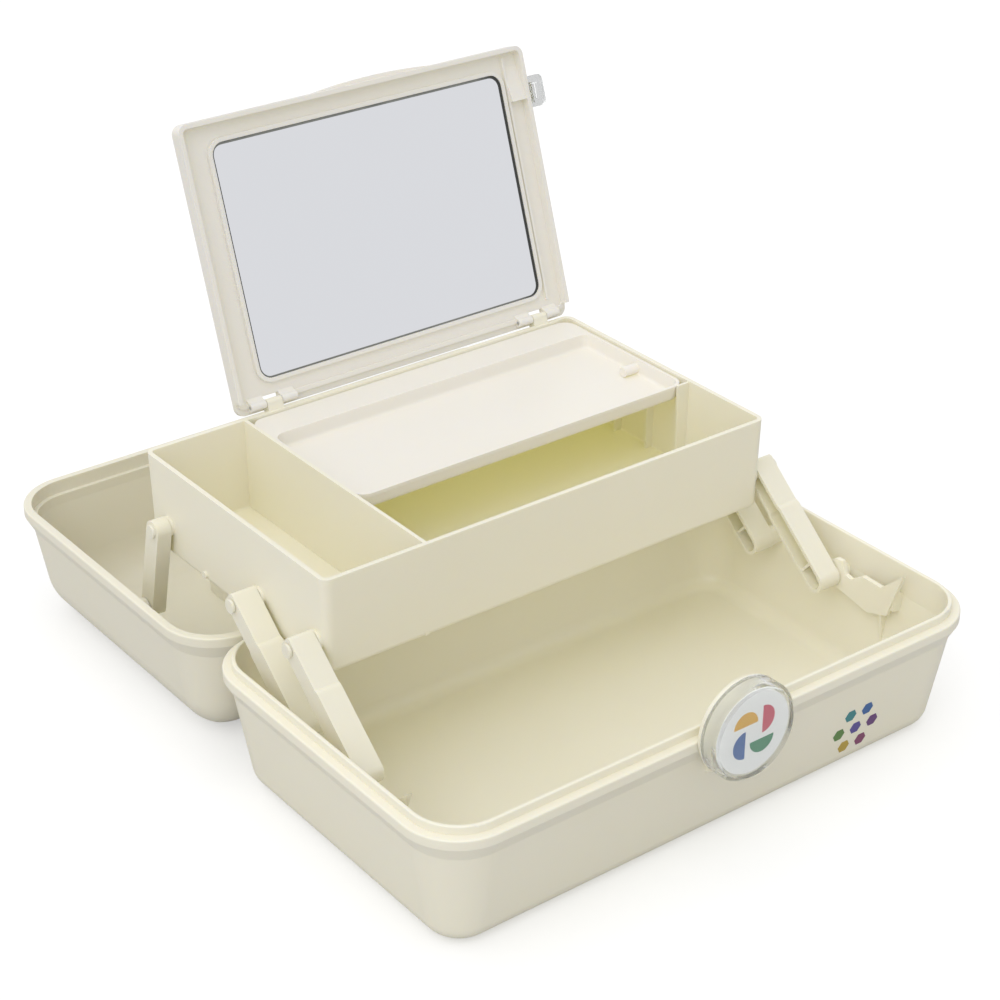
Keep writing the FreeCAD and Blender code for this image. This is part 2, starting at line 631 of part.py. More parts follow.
# The arm rest's outline and its ties, as places from the front pivot: along the case and up.
ARM_REST = (
    (7, -6),
    (7, 4),
    (-1.5, 10),
    (-5.5, 10),
    (-8.5, 3.5),
    (-12.5, 2.5),
    (-20.5, 8),
    (-33.5, 7.6),
    (-47.4, 20),
    (-38.8, -6.5),
    (-25.2, -10.8),
    (-6, -6.9),
)
REST_TIES = (
    ("rest_tie", 40, (-3, 11, -5, 4)),
    ("rest_rib", 32.5, (-8, -4, -29, -6)),
)


def add_arm_rest(body, hand, side):
    """The plate beside a front arm: an ear over the post, a notch, and a pointed end tied to the wall."""
    face = hand * (arm_outer + d.rest_gap)
    middle = hand * (arm_outer + d.rest_gap + d.rest_plate / 2)
    plate = sketch_on(body, f"arm_rest_{side}_outline", "YZ_Plane", face)
    outline(plate, [(front_pivot_y + y, d.base_pivot_height + z) for y, z in ARM_REST])
    pad(body, f"arm_rest_{side}", plate, d.rest_plate, hand)
    for name, reach, ends in REST_TIES:
        heights = [d.base_pivot_height + height for height in ends]
        tie = sketch_on(body, f"{name}_{side}_outline", "XZ_Plane", front_pivot_y - reach)
        plate_low, plate_high, wall_low, wall_high = heights
        outline(
            tie,
            (
                (middle, plate_low),
                (hand * wall_middle(wall_low), wall_low),
                (hand * wall_middle(wall_high), wall_high),
                (middle, plate_high),
            ),
        )
        pad(body, f"{name}_{side}", tie, d.rest_rib, -1)


base = shell("base_shell", behind=False)
add_knuckles(base, on_base=True)
for hand, side in HANDS:
    add_arm_rest(base, hand, side)
    for name, y in (("front", front_pivot_y), ("rear", rear_pivot_y)):
        add_post(base, f"{name}_post_{side}", hand, post_face, y, d.base_pivot_height)

# ears for the latch on the front wall
front_wall_y = hinge_y - d.shell_reach + wall_inset(d.latch_axis_height)
for hand, side in HANDS:
    start = hand * (d.latch_barrel / 2 + d.side_play)
    ear = sketch_on(base, f"latch_ear_{side}_outline", "YZ_Plane", start)
    circle(ear, latch_axis_y, d.latch_axis_height, d.latch_barrel_radius)
    pad(base, f"latch_ear_{side}", ear, d.latch_ear, hand)
    web = sketch_on(base, f"latch_ear_web_{side}_outline", "YZ_Plane", start)
    web_back = front_wall_y + d.wall / 2
    web_top = d.latch_axis_height + d.latch_barrel_radius - 0.2
    web_low = d.latch_axis_height - d.latch_barrel_radius + 0.2
    outline(
        web,
        (
            (latch_axis_y, web_low),
            (web_back, web_low - 3),
            (web_back, web_top),
            (latch_axis_y, web_top),
        ),
    )
    pad(base, f"latch_ear_web_{side}", web, d.latch_ear, hand)
    bore = sketch_on(base, f"latch_ear_bore_{side}_outline", "YZ_Plane", start)
    circle(bore, latch_axis_y, d.latch_axis_height, d.latch_pin_radius + d.fit)
    pocket(base, f"latch_ear_bore_{side}", bore, d.latch_ear, hand)
finish(base, "base_shell")

lid = shell("lid_shell", behind=True)
add_knuckles(lid, on_base=False)
hollow_half = d.lift_width / 2 + d.lift_hollow_margin
rim_inside = hinge_y + d.shell_reach - d.flare_reach - d.wall
hollow_far = rim_inside + d.tongue + d.tongue_gap + d.lift_hollow
lift_hollow = sketch_on(lid, "lift_hollow_outline", "XY_Plane", d.shell_height)
outline(
    lift_hollow,
    (
        (d.lift_centre - hollow_half, rim_inside),
        (d.lift_centre + hollow_half, rim_inside),
        (d.lift_centre + hollow_half, hollow_far),
        (d.lift_centre - hollow_half, hollow_far),
    ),
)
pocket(lid, "lift_hollow", lift_hollow, d.lift_hollow_drop, -1)
for hand, side in HANDS:
    add_post(lid, f"lid_post_{side}", hand, lid_post_face, lid_pivot_y, lid_pivot_z)

# tub for the carry handle, sunk into the lid's outer face
tub_half = d.tub_width / 2
tub_low = hinge_y + d.tub_near
tub_high = hinge_y + d.tub_far
tub_block = sketch_on(lid, "handle_tub_block_outline", "XY_Plane", 0)
rounded_rectangle(
    tub_block,
    -tub_half - d.tub_skin,
    tub_half + d.tub_skin,
    tub_low - d.tub_skin,
    tub_high + d.tub_skin,
    d.tub_corner + d.tub_skin,
)
pad(lid, "handle_tub_block", tub_block, d.tub_depth + d.tub_skin, 1)
fillet(lid, "handle_tub_soft_edge", d.tub_skin, level_at(d.tub_depth + d.tub_skin))
tub_room = sketch_on(lid, "handle_tub_outline", "XY_Plane", 0)
rounded_rectangle(tub_room, -tub_half, tub_half, tub_low, tub_high, d.tub_corner)
pocket(lid, "handle_tub", tub_room, d.tub_depth, 1)
for hand, side in HANDS:
    bore = sketch_on(lid, f"handle_pin_bore_{side}_outline", "YZ_Plane", hand * leg_outer)
    circle(bore, handle_axis_y, handle_axis_z, d.handle_pin_radius + d.fit)
    pocket(lid, f"handle_pin_bore_{side}", bore, d.handle_side_gap + d.tub_skin - d.pin_cover, hand)
finish(lid, "lid_shell")

hinge_half = d.base_knuckle / 2 + d.side_play + d.lid_knuckle
hinge_pins = [
    pin_along_x(
        f"hinge_pin_{side}",
        d.hinge_pin_radius,
        hand * d.hinge_offset - hinge_half,
        hand * d.hinge_offset + hinge_half,
        hinge_y,
        hinge_z,
    )
    for hand, side in HANDS
]
group("hinge_pins", hinge_pins)

# ---------------------------------------------------------------- the arms


def arm_outline(sketch, radius, reach, corner):
    """A stretch of an arm from its pivot: round about the far end, or square with small corners."""
    if corner is None:
        link_outline(sketch, Size.of(0), reach, radius)
    else:
        rounded_rectangle(sketch, Size.of(0), reach + radius, -radius, radius, corner)


def channel_arm(label, hand, pivot_y, pivot_z, turn, length, widths, thickness, drops):
    """An arm of channel section, open to the inside, with a bored boss at either pivot.

    The arm lies along its own +Y from the pivot. Each entry of widths is a radius, the distance it
    reaches and the corner radius of a square end. The drops are the depths of the two bosses below the
    inner face.
    """
    arm = new_body(label, 0, pivot_y, pivot_z, turn)
    inner = hand * arm_inner
    for number, (radius, reach, corner) in enumerate(widths):
        stock = sketch_on(arm, f"{label}_stock_{number}_outline", "YZ_Plane", inner)
        arm_outline(stock, radius, reach, corner)
        pad(arm, f"{label}_stock_{number}", stock, thickness, hand)
    for number, (radius, reach, corner) in enumerate(widths):
        channel = sketch_on(arm, f"{label}_channel_{number}_outline", "YZ_Plane", inner)
        arm_outline(channel, radius - d.arm_rail, reach, corner and corner / 2)
        pocket(arm, f"{label}_channel_{number}", channel, thickness - d.arm_web, hand)
    for number, (place, drop) in enumerate(zip((Size.of(0), length), drops)):
        boss = sketch_on(arm, f"{label}_boss_{number}_outline", "YZ_Plane", inner + hand * drop)
        circle(boss, place, Size.of(0), d.arm_boss_radius)
        pad(arm, f"{label}_boss_{number}", boss, thickness - drop, hand)
        bore = sketch_on(arm, f"{label}_bore_{number}_outline", "YZ_Plane", inner)
        circle(bore, place, Size.of(0), d.arm_pin_radius + d.fit)
        pocket(arm, f"{label}_bore_{number}", bore, thickness, hand)
    return finish(arm, label)


def add_cross_rib(arm, hand):
    """A rib across the channel of a base arm, next to its base pivot."""
    rib = sketch_on(arm, f"{arm.Label}_cross_rib_outline", "YZ_Plane", hand * (arm_inner + d.cross_rib_drop))
    near = d.cross_rib_reach - d.cross_rib / 2
    far = d.cross_rib_reach + d.cross_rib / 2
    side = d.arm_width / 2 - d.arm_rail / 2
    outline(rib, ((near, -side), (far, -side), (far, side), (near, side)))
    pad(arm, f"{arm.Label}_cross_rib", rib, d.arm_thickness - d.cross_rib_drop - d.arm_web / 2, hand)


base_arm_widths = (
    (d.arm_width / 2, d.arm_shoulder, None),
    (d.arm_neck_width / 2, d.arm_length, d.arm_end_corner),
)
lid_arm_widths = ((d.lid_arm_width / 2, lid_arm_length, None),)
base_pins = []
tray_pins = []
lid_pins = []
for hand, side in HANDS:
    for name, y in (("front", front_pivot_y), ("rear", rear_pivot_y)):
        arm = channel_arm(
            f"{name}_arm_{side}",
            hand,
            y,
            d.base_pivot_height,
            d.arm_open_angle,
            d.arm_length,
            base_arm_widths,
            d.arm_thickness,
            (d.base_boss_drop, d.arm_boss_drop),
        )
        add_cross_rib(arm, hand)
        pin = headed_pin(
            f"{name}_base_pin_{side}",
            hand,
            post_face + d.post_bore,
            arm_inner + d.base_boss_drop - d.seat_gap,
            y,
            d.base_pivot_height,
            head_outwards=False,
        )
        base_pins.append(pin)
        pin = headed_pin(
            f"{name}_tray_pin_{side}",
            hand,
            tray_half - d.tray_wall,
            arm_outer + d.seat_gap,
            y + arm_run,
            tray_pivot_z,
            head_outwards=True,
        )
        tray_pins.append(pin)
    channel_arm(
        f"lid_arm_{side}",
        hand,
        lid_pivot_y,
        lid_pivot_z,
        d.lid_arm_lean + 90,
        lid_arm_length,
        lid_arm_widths,
        d.lid_arm_thickness,
        (d.arm_boss_drop, d.arm_boss_drop),
    )
    pin = headed_pin(
        f"lid_pin_{side}",
        hand,
        lid_post_face + d.post_bore,
        arm_inner + d.arm_boss_drop - d.seat_gap,
        lid_pivot_y,
        lid_pivot_z,
        head_outwards=False,
    )
    lid_pins.append(pin)
    rivet = headed_pin(
        f"lid_arm_rivet_{side}",
        hand,
        arm_inner + d.seat_gap,
        lid_arm_outer,
        lid_arm_top_y,
        lid_arm_top_z,
        head_outwards=True,
    )
    finish(rivet, f"lid_arm_rivet_{side}")
group("base_pivot_pins", base_pins)
group("tray_pivot_pins", tray_pins)
group("lid_pivot_pins", lid_pins)

# ---------------------------------------------------------------- the tray

tray = new_body("tray")
tray_stock = sketch_on(tray, "tray_outline", "XY_Plane", d.tray_top)
rounded_rectangle(tray_stock, -tray_half, tray_half, tray_front, tray_back, d.tray_corner)
pad(tray, "tray_stock", tray_stock, d.tray_height, -1, -d.tray_draft)
tray_room = sketch_on(tray, "tray_room_outline", "XY_Plane", d.tray_top)
rounded_rectangle(
    tray_room,
    d.tray_wall - tray_half,
    tray_half - d.tray_wall,
    tray_front + d.tray_wall,
    tray_back - d.tray_wall,
    d.tray_corner - d.tray_wall,
)
pocket(tray, "tray_room", tray_room, d.tray_height - d.tray_floor, -1, -d.tray_draft)
fillet(tray, "tray_inner_foot", d.tray_foot_radius - d.tray_wall, level_at(tray_bottom + d.tray_floor))
fillet(tray, "tray_foot", d.tray_foot_radius, level_at(tray_bottom))

# partition, inside ribs and the ribs that carry the shallow tray
dish_top = d.tray_top - d.dish_drop
dish_bottom = dish_top - d.dish_height
floor_middle = tray_bottom + d.tray_floor / 2
wall_half = d.tray_wall / 2
partition_left = -d.partition_offset - d.partition / 2
partition_right = -d.partition_offset + d.partition / 2
partition_back = tray_back - wall_half
ribs = [("partition", partition_left, partition_right, tray_front + wall_half, partition_back, d.tray_top)]
front_rib_y = hinge_y - d.dish_front_reach - d.drop_in_gap - d.rib
right_in = tray_half - d.tray_wall - d.rib_reach
right_out = tray_half - wall_half - 1
ribs.append(("front_rib", right_in, right_out, front_rib_y, front_rib_y + d.rib, d.tray_top - 0.5))
left_rib_end = partition_right + d.rib_reach - 2
for number, reach in enumerate((20, 52, 78)):
    y = tray_back - reach
    ribs.append((f"right_rib_{number}", right_in + 2, right_out, y, y + d.rib, dish_bottom))
    ribs.append((f"left_rib_{number}", partition_right - 0.5, left_rib_end, y, y + d.rib, dish_bottom))
for name, x_low, x_high, y_low, y_high, top in ribs:
    rib = sketch_on(tray, f"{name}_outline", "XY_Plane", top)
    outline(rib, ((x_low, y_low), (x_high, y_low), (x_high, y_high), (x_low, y_high)))
    pad(tray, name, rib, Size.of(top) - floor_middle, -1)

# pads that the arms swing against, with blind holes for the pins
pad_face = arm_inner - d.seat_gap
tray_seats = (
    ("front", front_pivot_y + arm_run, tray_pivot_z, True),
    ("rear", rear_pivot_y + arm_run, tray_pivot_z, True),
    ("lid_arm", lid_arm_top_y, lid_arm_top_z, False),
)
for hand, side in HANDS:
    for name, y, z, bored in tray_seats:
        seat = sketch_on(tray, f"{name}_seat_{side}_outline", "YZ_Plane", hand * pad_face)
        circle(seat, y, z, d.post_radius)
        pad(tray, f"{name}_seat_{side}", seat, pad_face - tray_half + d.tray_wall, -hand)
        if bored:
            bore = sketch_on(tray, f"{name}_bore_{side}_outline", "YZ_Plane", hand * pad_face)
            circle(bore, y, z, d.arm_pin_radius + d.fit)
            pocket(tray, f"{name}_bore_{side}", bore, pad_face - tray_half + d.tray_wall, -hand)
    nub = sketch_on(tray, f"nub_{side}_outline", "YZ_Plane", hand * tray_half)
    circle(nub, tray_back - d.nub_reach, tray_bottom + d.nub_height, d.nub_radius)
    pad(tray, f"nub_{side}", nub, d.tray_wall, -hand)
stud = sketch_on(tray, "rim_stud_outline", "XY_Plane", d.tray_top - 2)
circle(stud, tray_half - wall_half, tray_front + d.stud_reach, d.stud_radius)
pad(tray, "rim_stud", stud, 2 + d.mirror_rest_gap / 2, 1)

# lugs for the mirror lid's hinge, on the back wall
mirror_hinge_middles = (
    ("left", d.mirror_hinge_inset - mirror_left),
    ("right", mirror_right - d.mirror_hinge_inset),
)
lug_reach = d.mirror_knuckle / 2
for side, middle in mirror_hinge_middles:
    web = sketch_on(tray, f"mirror_lug_web_{side}_outline", "YZ_Plane", middle - lug_reach)
    back_wall = tray_back - wall_half
    rear_face = mirror_y + d.mirror_knuckle_radius
    outline(
        web,
        (
            (back_wall, d.tray_top - 13),
            (rear_face, mirror_z - 4),
            (rear_face, mirror_z),
            (mirror_y - d.mirror_knuckle_radius, mirror_z),
            (back_wall, d.tray_top - 0.5),
        ),
    )
    pad(tray, f"mirror_lug_web_{side}", web, d.mirror_knuckle, 1)
    barrel = sketch_on(tray, f"mirror_lug_{side}_outline", "YZ_Plane", middle - lug_reach)
    circle(barrel, mirror_y, mirror_z, d.mirror_knuckle_radius)
    pad(tray, f"mirror_lug_{side}", barrel, d.mirror_knuckle, 1)
    bore = sketch_on(tray, f"mirror_lug_bore_{side}_outline", "YZ_Plane", middle - lug_reach)
    circle(bore, mirror_y, mirror_z, d.mirror_pin_radius + d.fit)
    pocket(tray, f"mirror_lug_bore_{side}", bore, d.mirror_knuckle, 1)
finish(tray, "tray")

# ---------------------------------------------------------------- the shallow tray


def narrow(edge_x, edge_y):
    """A test for upright edges next to a place in plan."""
    def wanted(edge):
        box = edge.BoundBox
        near_x = abs(box.XMin - Size.of(edge_x).value) < 0.6 and abs(box.XMax - Size.of(edge_x).value) < 0.6
        near_y = abs(box.YMin - Size.of(edge_y).value) < 0.6 and abs(box.YMax - Size.of(edge_y).value) < 0.6
        return near_x and near_y and box.ZLength > 0.5
    return wanted


dish = new_body("shallow_tray")
dish_left = partition_right + d.drop_in_gap
dish_right = tray_half - d.tray_wall - d.drop_in_gap - 0.3
dish_front = hinge_y - d.dish_front_reach
dish_back = tray_back - d.tray_wall - d.drop_in_gap
basin_back = dish_back - d.dish_flange
plate = sketch_on(dish, "dish_plate_outline", "XY_Plane", dish_top)
rounded_rectangle(plate, dish_left, dish_right, dish_front, dish_back, d.dish_corner)
pad(dish, "dish_plate", plate, d.dish_wall, -1)
basin = sketch_on(dish, "dish_basin_outline", "XY_Plane", dish_top)
rounded_rectangle(basin, dish_left, dish_right, dish_front, basin_back + d.dish_wall, d.dish_corner)
pad(dish, "dish_basin_stock", basin, d.dish_height, -1, -d.dish_draft)
room = sketch_on(dish, "dish_room_outline", "XY_Plane", dish_top)
rounded_rectangle(
    room,
    dish_left + d.dish_wall,
    dish_right - d.dish_wall,
    dish_front + d.dish_wall,
    basin_back,
    d.dish_corner - d.dish_wall,
)
pocket(dish, "dish_room", room, d.dish_height - d.dish_wall, -1, -d.dish_draft)
fillet(dish, "dish_inner_foot", d.dish_foot_radius - d.dish_wall, level_at(dish_bottom + d.dish_wall))
fillet(dish, "dish_foot", d.dish_foot_radius, level_at(dish_bottom))
peg = sketch_on(dish, "dish_peg_outline", "YZ_Plane", dish_right - d.dish_wall)
circle(peg, hinge_y + d.peg_reach, dish_bottom + d.dish_wall + d.peg_radius, d.peg_radius)
pad(dish, "dish_peg", peg, d.peg_length, -1)
finish(dish, "shallow_tray")

# ---------------------------------------------------------------- the mirror lid

panel = new_body("mirror_lid_panel", 0, mirror_y, mirror_z, d.mirror_open_angle)
plate_face = d.panel - d.panel_back
lip_top = d.mirror_axis_up - d.mirror_rest_gap
plate = sketch_on(panel, "panel_outline", "XY_Plane", plate_face)
rounded_rectangle(plate, -mirror_left, mirror_right, -d.panel_skirt, mirror_length, d.tray_corner)
pad(panel, "panel_plate", plate, d.panel, -1)
lip = sketch_on(panel, "panel_lip_outline", "XY_Plane", plate_face)
rounded_rectangle(lip, -mirror_left, mirror_right, Size.of(0), mirror_length, d.tray_corner)
pad(panel, "panel_lip", lip, lip_top - plate_face, 1)
inside = sketch_on(panel, "panel_inside_outline", "XY_Plane", lip_top)
rounded_rectangle(
    inside,
    d.panel_lip - mirror_left,
    mirror_right - d.panel_lip,
    Size.of(d.panel_lip),
    mirror_length - d.panel_lip,
    d.tray_corner - d.panel_lip,
)
pocket(panel, "panel_inside", inside, lip_top - plate_face, -1)
low_edge = sketch_on(panel, "panel_low_edge_outline", "XY_Plane", lip_top)
low_edge_end = d.panel_lip * 1.5
outline(
    low_edge,
    (
        (-mirror_left - 1, Size.of(-1)),
        (mirror_right + 1, Size.of(-1)),
        (mirror_right + 1, low_edge_end),
        (-mirror_left - 1, low_edge_end),
    ),
)
pocket(panel, "panel_low_edge", low_edge, lip_top - plate_face - d.panel_low_lip, -1)

# finger lift: a shallow bow on the free edge
lift = sketch_on(panel, "finger_lift_outline", "XY_Plane", plate_face - d.panel)
bow_left = d.lift_centre - d.lift_width / 2
bow_right = d.lift_centre + d.lift_width / 2
chord_y = mirror_length - 0.6
rise = d.lift_rise + 0.6
bow_radius = (d.lift_width * d.lift_width / 4 + rise * rise) / (2 * rise)
swing = degrees(atan(d.lift_width.value / 2 / (bow_radius.value - rise.value)))
bow_centre = (d.lift_centre.value, (chord_y + rise - bow_radius).value)
bow = arc(lift, bow_centre, bow_radius.value, 90 - swing, 90 + swing)
chord = lift.addGeometry(
    Part.LineSegment(
        FreeCAD.Vector(bow_left.value, chord_y.value, 0),
        FreeCAD.Vector(bow_right.value, chord_y.value, 0),
    )
)
lift.addConstraint(Sketcher.Constraint("Coincident", bow, 2, chord, 1))
lift.addConstraint(Sketcher.Constraint("Coincident", chord, 2, bow, 1))
hold(lift, chord, 1, bow_left, chord_y)
hold(lift, chord, 2, bow_right, chord_y)
hold_radius(lift, bow, bow_radius)
pad(panel, "finger_lift", lift, d.panel + d.lift_lip, 1)

# side trough: a low rail beside the glass, and a wedge at its far end
rail_x = glass_right + d.bezel_gap + d.bezel + 1
rail = sketch_on(panel, "trough_rail_outline", "XY_Plane", plate_face - d.panel / 2)
wedge_end = d.trough_wedge_start + d.trough_wedge
outline(
    rail,
    (
        (rail_x, d.trough_start),
        (rail_x + d.trough_rail, d.trough_start),
        (rail_x + d.trough_rail, wedge_end),
        (rail_x, wedge_end),
    ),
)
pad(panel, "trough_rail", rail, d.panel / 2 + d.bezel_height, 1)
wedge_x = rail_x + d.trough_rail / 2
wedge = sketch_on(panel, "trough_wedge_outline", "YZ_Plane", wedge_x)
wedge_low = plate_face - d.panel / 2
wedge_top = lip_top - 0.4
outline(wedge, ((d.trough_wedge_start, wedge_low), (wedge_end, wedge_low), (d.trough_wedge_start, wedge_top)))
pad(panel, "trough_wedge", wedge, mirror_right - d.panel_lip / 2 - wedge_x, 1)

# hinge knuckles of the mirror lid, with room for the tray's lugs between them
for side, middle in mirror_hinge_middles:
    notch = sketch_on(panel, f"lug_notch_{side}_outline", "XY_Plane", lip_top + 1)
    notch_half = lug_reach + d.side_play
    outline(
        notch,
        (
            (middle - notch_half, -d.panel_skirt - 1),
            (middle + notch_half, -d.panel_skirt - 1),
            (middle + notch_half, d.mirror_knuckle_radius + 1.4),
            (middle - notch_half, d.mirror_knuckle_radius + 1.4),
        ),
    )
    pocket(panel, f"lug_notch_{side}", notch, lip_top + 2 + d.panel_back, -1)
    starts = (("low", middle - notch_half - d.mirror_knuckle), ("high", middle + notch_half))
    for place, start in starts:
        name = f"mirror_knuckle_{side}_{place}"
        web = sketch_on(panel, f"{name}_web_outline", "YZ_Plane", start)
        radius = d.mirror_knuckle_radius
        outline(
            web,
            (
                (-radius, Size.of(0)),
                (-radius, wedge_low),
                (radius * 2, wedge_low),
                (radius * 2, plate_face),
                (radius, Size.of(0)),
            ),
        )
        pad(panel, f"{name}_web", web, d.mirror_knuckle, 1)
        ring = sketch_on(panel, f"{name}_outline", "YZ_Plane", start)
        circle(ring, Size.of(0), Size.of(0), radius)
        pad(panel, name, ring, d.mirror_knuckle, 1)
        bore = sketch_on(panel, f"{name}_bore_outline", "YZ_Plane", start)
        circle(bore, Size.of(0), Size.of(0), d.mirror_pin_radius + d.fit)
        pocket(panel, f"{name}_bore", bore, d.mirror_knuckle, 1)
finish(panel, "mirror_lid_panel")


def framed(label, z_low, thickness, margin, window_margin=None):
    """A plate round the glass's outline, enlarged by a margin, with an optional window."""
    body = new_body(label, 0, mirror_y, mirror_z, d.mirror_open_angle)
    for name, grown, cut in (("plate", margin, False), ("window", window_margin, True)):
        if grown is None:
            continue
        sketch = sketch_on(body, f"{label}_{name}_outline", "XY_Plane", z_low)
        rounded_rectangle(
            sketch,
            -glass_left - grown,
            glass_right + grown,
            d.glass_near - grown,
            d.glass_far + grown,
            d.glass_corner + grown,
        )
        make = pocket if cut else pad
        make(body, f"{label}_{name}", sketch, thickness, 1)
    return body


finish(framed("mirror_glass", plate_face, d.glass, Size.of(0)), "mirror_glass")
finish(framed("mirror_bezel", plate_face, d.bezel_height, d.bezel_gap + d.bezel, d.bezel_gap), "mirror_bezel")

mirror_pins = [
    pin_along_x(
        f"mirror_pin_{side}",
        d.mirror_pin_radius,
        middle - lug_reach - d.side_play - d.mirror_knuckle,
        middle + lug_reach + d.side_play + d.mirror_knuckle,
        mirror_y,
        mirror_z,
    )
    for side, middle in mirror_hinge_middles
]
group("mirror_hinge_pins", mirror_pins)

# clear clip on the right edge of the mirror lid: a tongue with a slot, and a foot that hooks round the edge
clip = new_body("mirror_clip", 0, mirror_y, mirror_z, d.mirror_open_angle)
clip_far = d.clip_near + d.clip_length
clip_edge = mirror_right
tongue = sketch_on(clip, "clip_tongue_outline", "XY_Plane", plate_face - d.panel)
rounded_rectangle(tongue, clip_edge, clip_edge + d.clip_reach, d.clip_near, clip_far, d.clip_corner)
pad(clip, "clip_tongue", tongue, d.panel, 1)
hook = sketch_on(clip, "clip_foot_outline", "XY_Plane", plate_face - d.panel)
outline(
    hook,
    (
        (clip_edge, d.clip_near + d.clip_corner),
        (clip_edge + d.clip_foot, d.clip_near + d.clip_corner),
        (clip_edge + d.clip_foot, clip_far - d.clip_corner),
        (clip_edge, clip_far - d.clip_corner),
    ),
)
pad(clip, "clip_foot", hook, d.panel_back + lip_top, 1)
slot = sketch_on(clip, "clip_slot_outline", "XY_Plane", plate_face)
slot_x = clip_edge + d.clip_slot_reach
slot_half = d.clip_slot / 2
rounded_rectangle(
    slot,
    slot_x - slot_half,
    slot_x + slot_half,
    d.clip_near + d.clip_margin,
    clip_far - d.clip_margin,
    slot_half * 0.9,
)
pocket(clip, "clip_slot", slot, d.panel, -1)
finish(clip, "mirror_clip")

# ---------------------------------------------------------------- the latch

cover_back_y = latch_back_y - d.latch_plate
cover_front_y = cover_back_y - d.latch_cover_depth
cover = new_body("latch_cover")
rim_ring = sketch_on(cover, "cover_rim_outline", "XZ_Plane", cover_back_y)
circle(rim_ring, Size.of(0), d.latch_height, d.latch_radius)
pad(cover, "cover_rim", rim_ring, d.latch_cover_depth - d.latch_bevel, -1)
bevel = sketch_on(cover, "cover_bevel_outline", "XZ_Plane", cover_front_y + d.latch_bevel)
circle(bevel, Size.of(0), d.latch_height, d.latch_radius)
bevel_run = d.latch_radius - d.latch_face_radius
pad(cover, "cover_bevel", bevel, d.latch_bevel, -1, -bevel_run.slope(d.latch_bevel))
hollow = sketch_on(cover, "cover_hollow_outline", "XZ_Plane", cover_back_y)
circle(hollow, Size.of(0), d.latch_height, d.latch_radius - d.latch_cover_wall)
pocket(cover, "cover_hollow", hollow, d.latch_cover_depth - d.latch_cover_wall, -1)
finish(cover, "latch_cover")

insert = new_body("latch_insert")
card = sketch_on(insert, "insert_outline", "XZ_Plane", cover_front_y + d.latch_cover_wall + 0.1)
circle(card, Size.of(0), d.latch_height, d.latch_radius - d.latch_cover_wall - 0.8)
pad(insert, "insert_card", card, d.latch_insert, 1)
finish(insert, "latch_insert")

back = new_body("latch_plate")
disc = sketch_on(back, "latch_plate_outline", "XZ_Plane", latch_back_y)
circle(disc, Size.of(0), d.latch_height, d.latch_radius - 0.8)
pad(back, "latch_plate_disc", disc, d.latch_plate, -1)
barrel_half = d.latch_barrel / 2
ear_room_top = d.latch_axis_height + d.latch_barrel_radius + 0.8
for hand, side in HANDS:
    room = sketch_on(back, f"ear_room_{side}_outline", "XZ_Plane", latch_back_y)
    far_x = hand * (barrel_half + d.latch_ear * 3)
    low_z = d.latch_height - d.latch_radius - 1
    near_x = hand * barrel_half
    outline(room, ((near_x, low_z), (far_x, low_z), (far_x, ear_room_top), (near_x, ear_room_top)))
    pocket(back, f"ear_room_{side}", room, d.latch_plate, -1)
barrel = sketch_on(back, "latch_barrel_outline", "YZ_Plane", -barrel_half)
circle(barrel, latch_axis_y, d.latch_axis_height, d.latch_barrel_radius)
pad(back, "latch_barrel", barrel, d.latch_barrel, 1)
bore = sketch_on(back, "latch_barrel_bore_outline", "YZ_Plane", -barrel_half)
circle(bore, latch_axis_y, d.latch_axis_height, d.latch_pin_radius + d.fit)
pocket(back, "latch_barrel_bore", bore, d.latch_barrel, 1)
finish(back, "latch_plate")

pin_half = barrel_half + d.side_play + d.latch_ear
latch_pin_stock = ("latch_pin", d.latch_pin_radius, -pin_half, pin_half)
finish(pin_along_x(*latch_pin_stock, latch_axis_y, d.latch_axis_height), "latch_pin")

# ---------------------------------------------------------------- the carry handle

handle = new_body("handle")
handle_top = d.handle_sunk + d.handle_thickness
grip_low = hinge_y + d.handle_grip - d.grip_width / 2
grip_high = hinge_y + d.handle_grip + d.grip_width / 2
bail = sketch_on(handle, "handle_bail_outline", "XY_Plane", d.handle_sunk)
outline(
    bail,
    (
        (-leg_outer, handle_axis_y),
        (-leg_outer + d.leg_width, handle_axis_y),
        (-leg_outer + d.leg_width, grip_low),
        (leg_outer - d.leg_width, grip_low),
        (leg_outer - d.leg_width, handle_axis_y),
        (leg_outer, handle_axis_y),
        (leg_outer, grip_high),
        (-leg_outer, grip_high),
    ),
)
pad(handle, "handle_bail", bail, d.handle_thickness, 1)
for hand, side in HANDS:
    outer_corner = narrow(hand * leg_outer, grip_high)
    inner_corner = narrow(hand * (leg_outer - d.leg_width), grip_low)
    fillet(handle, f"handle_outer_corner_{side}", d.leg_width, outer_corner)
    fillet(handle, f"handle_inner_corner_{side}", d.leg_width / 2, inner_corner)


def long_edges(edge):
    """The handle's top and bottom edges, apart from those at the two open ends of the legs."""
    box = edge.BoundBox
    level = box.ZLength < 0.01
    at_end = box.YMax < handle_axis_y.value + 0.01
    return level and not at_end


fillet(handle, "handle_soft_edges", d.handle_round, long_edges)
for hand, side in HANDS:
    eye = sketch_on(handle, f"handle_eye_{side}_outline", "YZ_Plane", hand * leg_outer)
    circle(eye, handle_axis_y, handle_axis_z, d.handle_thickness / 2)
    pad(handle, f"handle_eye_{side}", eye, d.leg_width, -hand)
    bore = sketch_on(handle, f"handle_eye_bore_{side}_outline", "YZ_Plane", hand * leg_outer)
    circle(bore, handle_axis_y, handle_axis_z, d.handle_pin_radius + d.fit)
    pocket(handle, f"handle_eye_bore_{side}", bore, d.leg_width, -hand)
finish(handle, "handle")

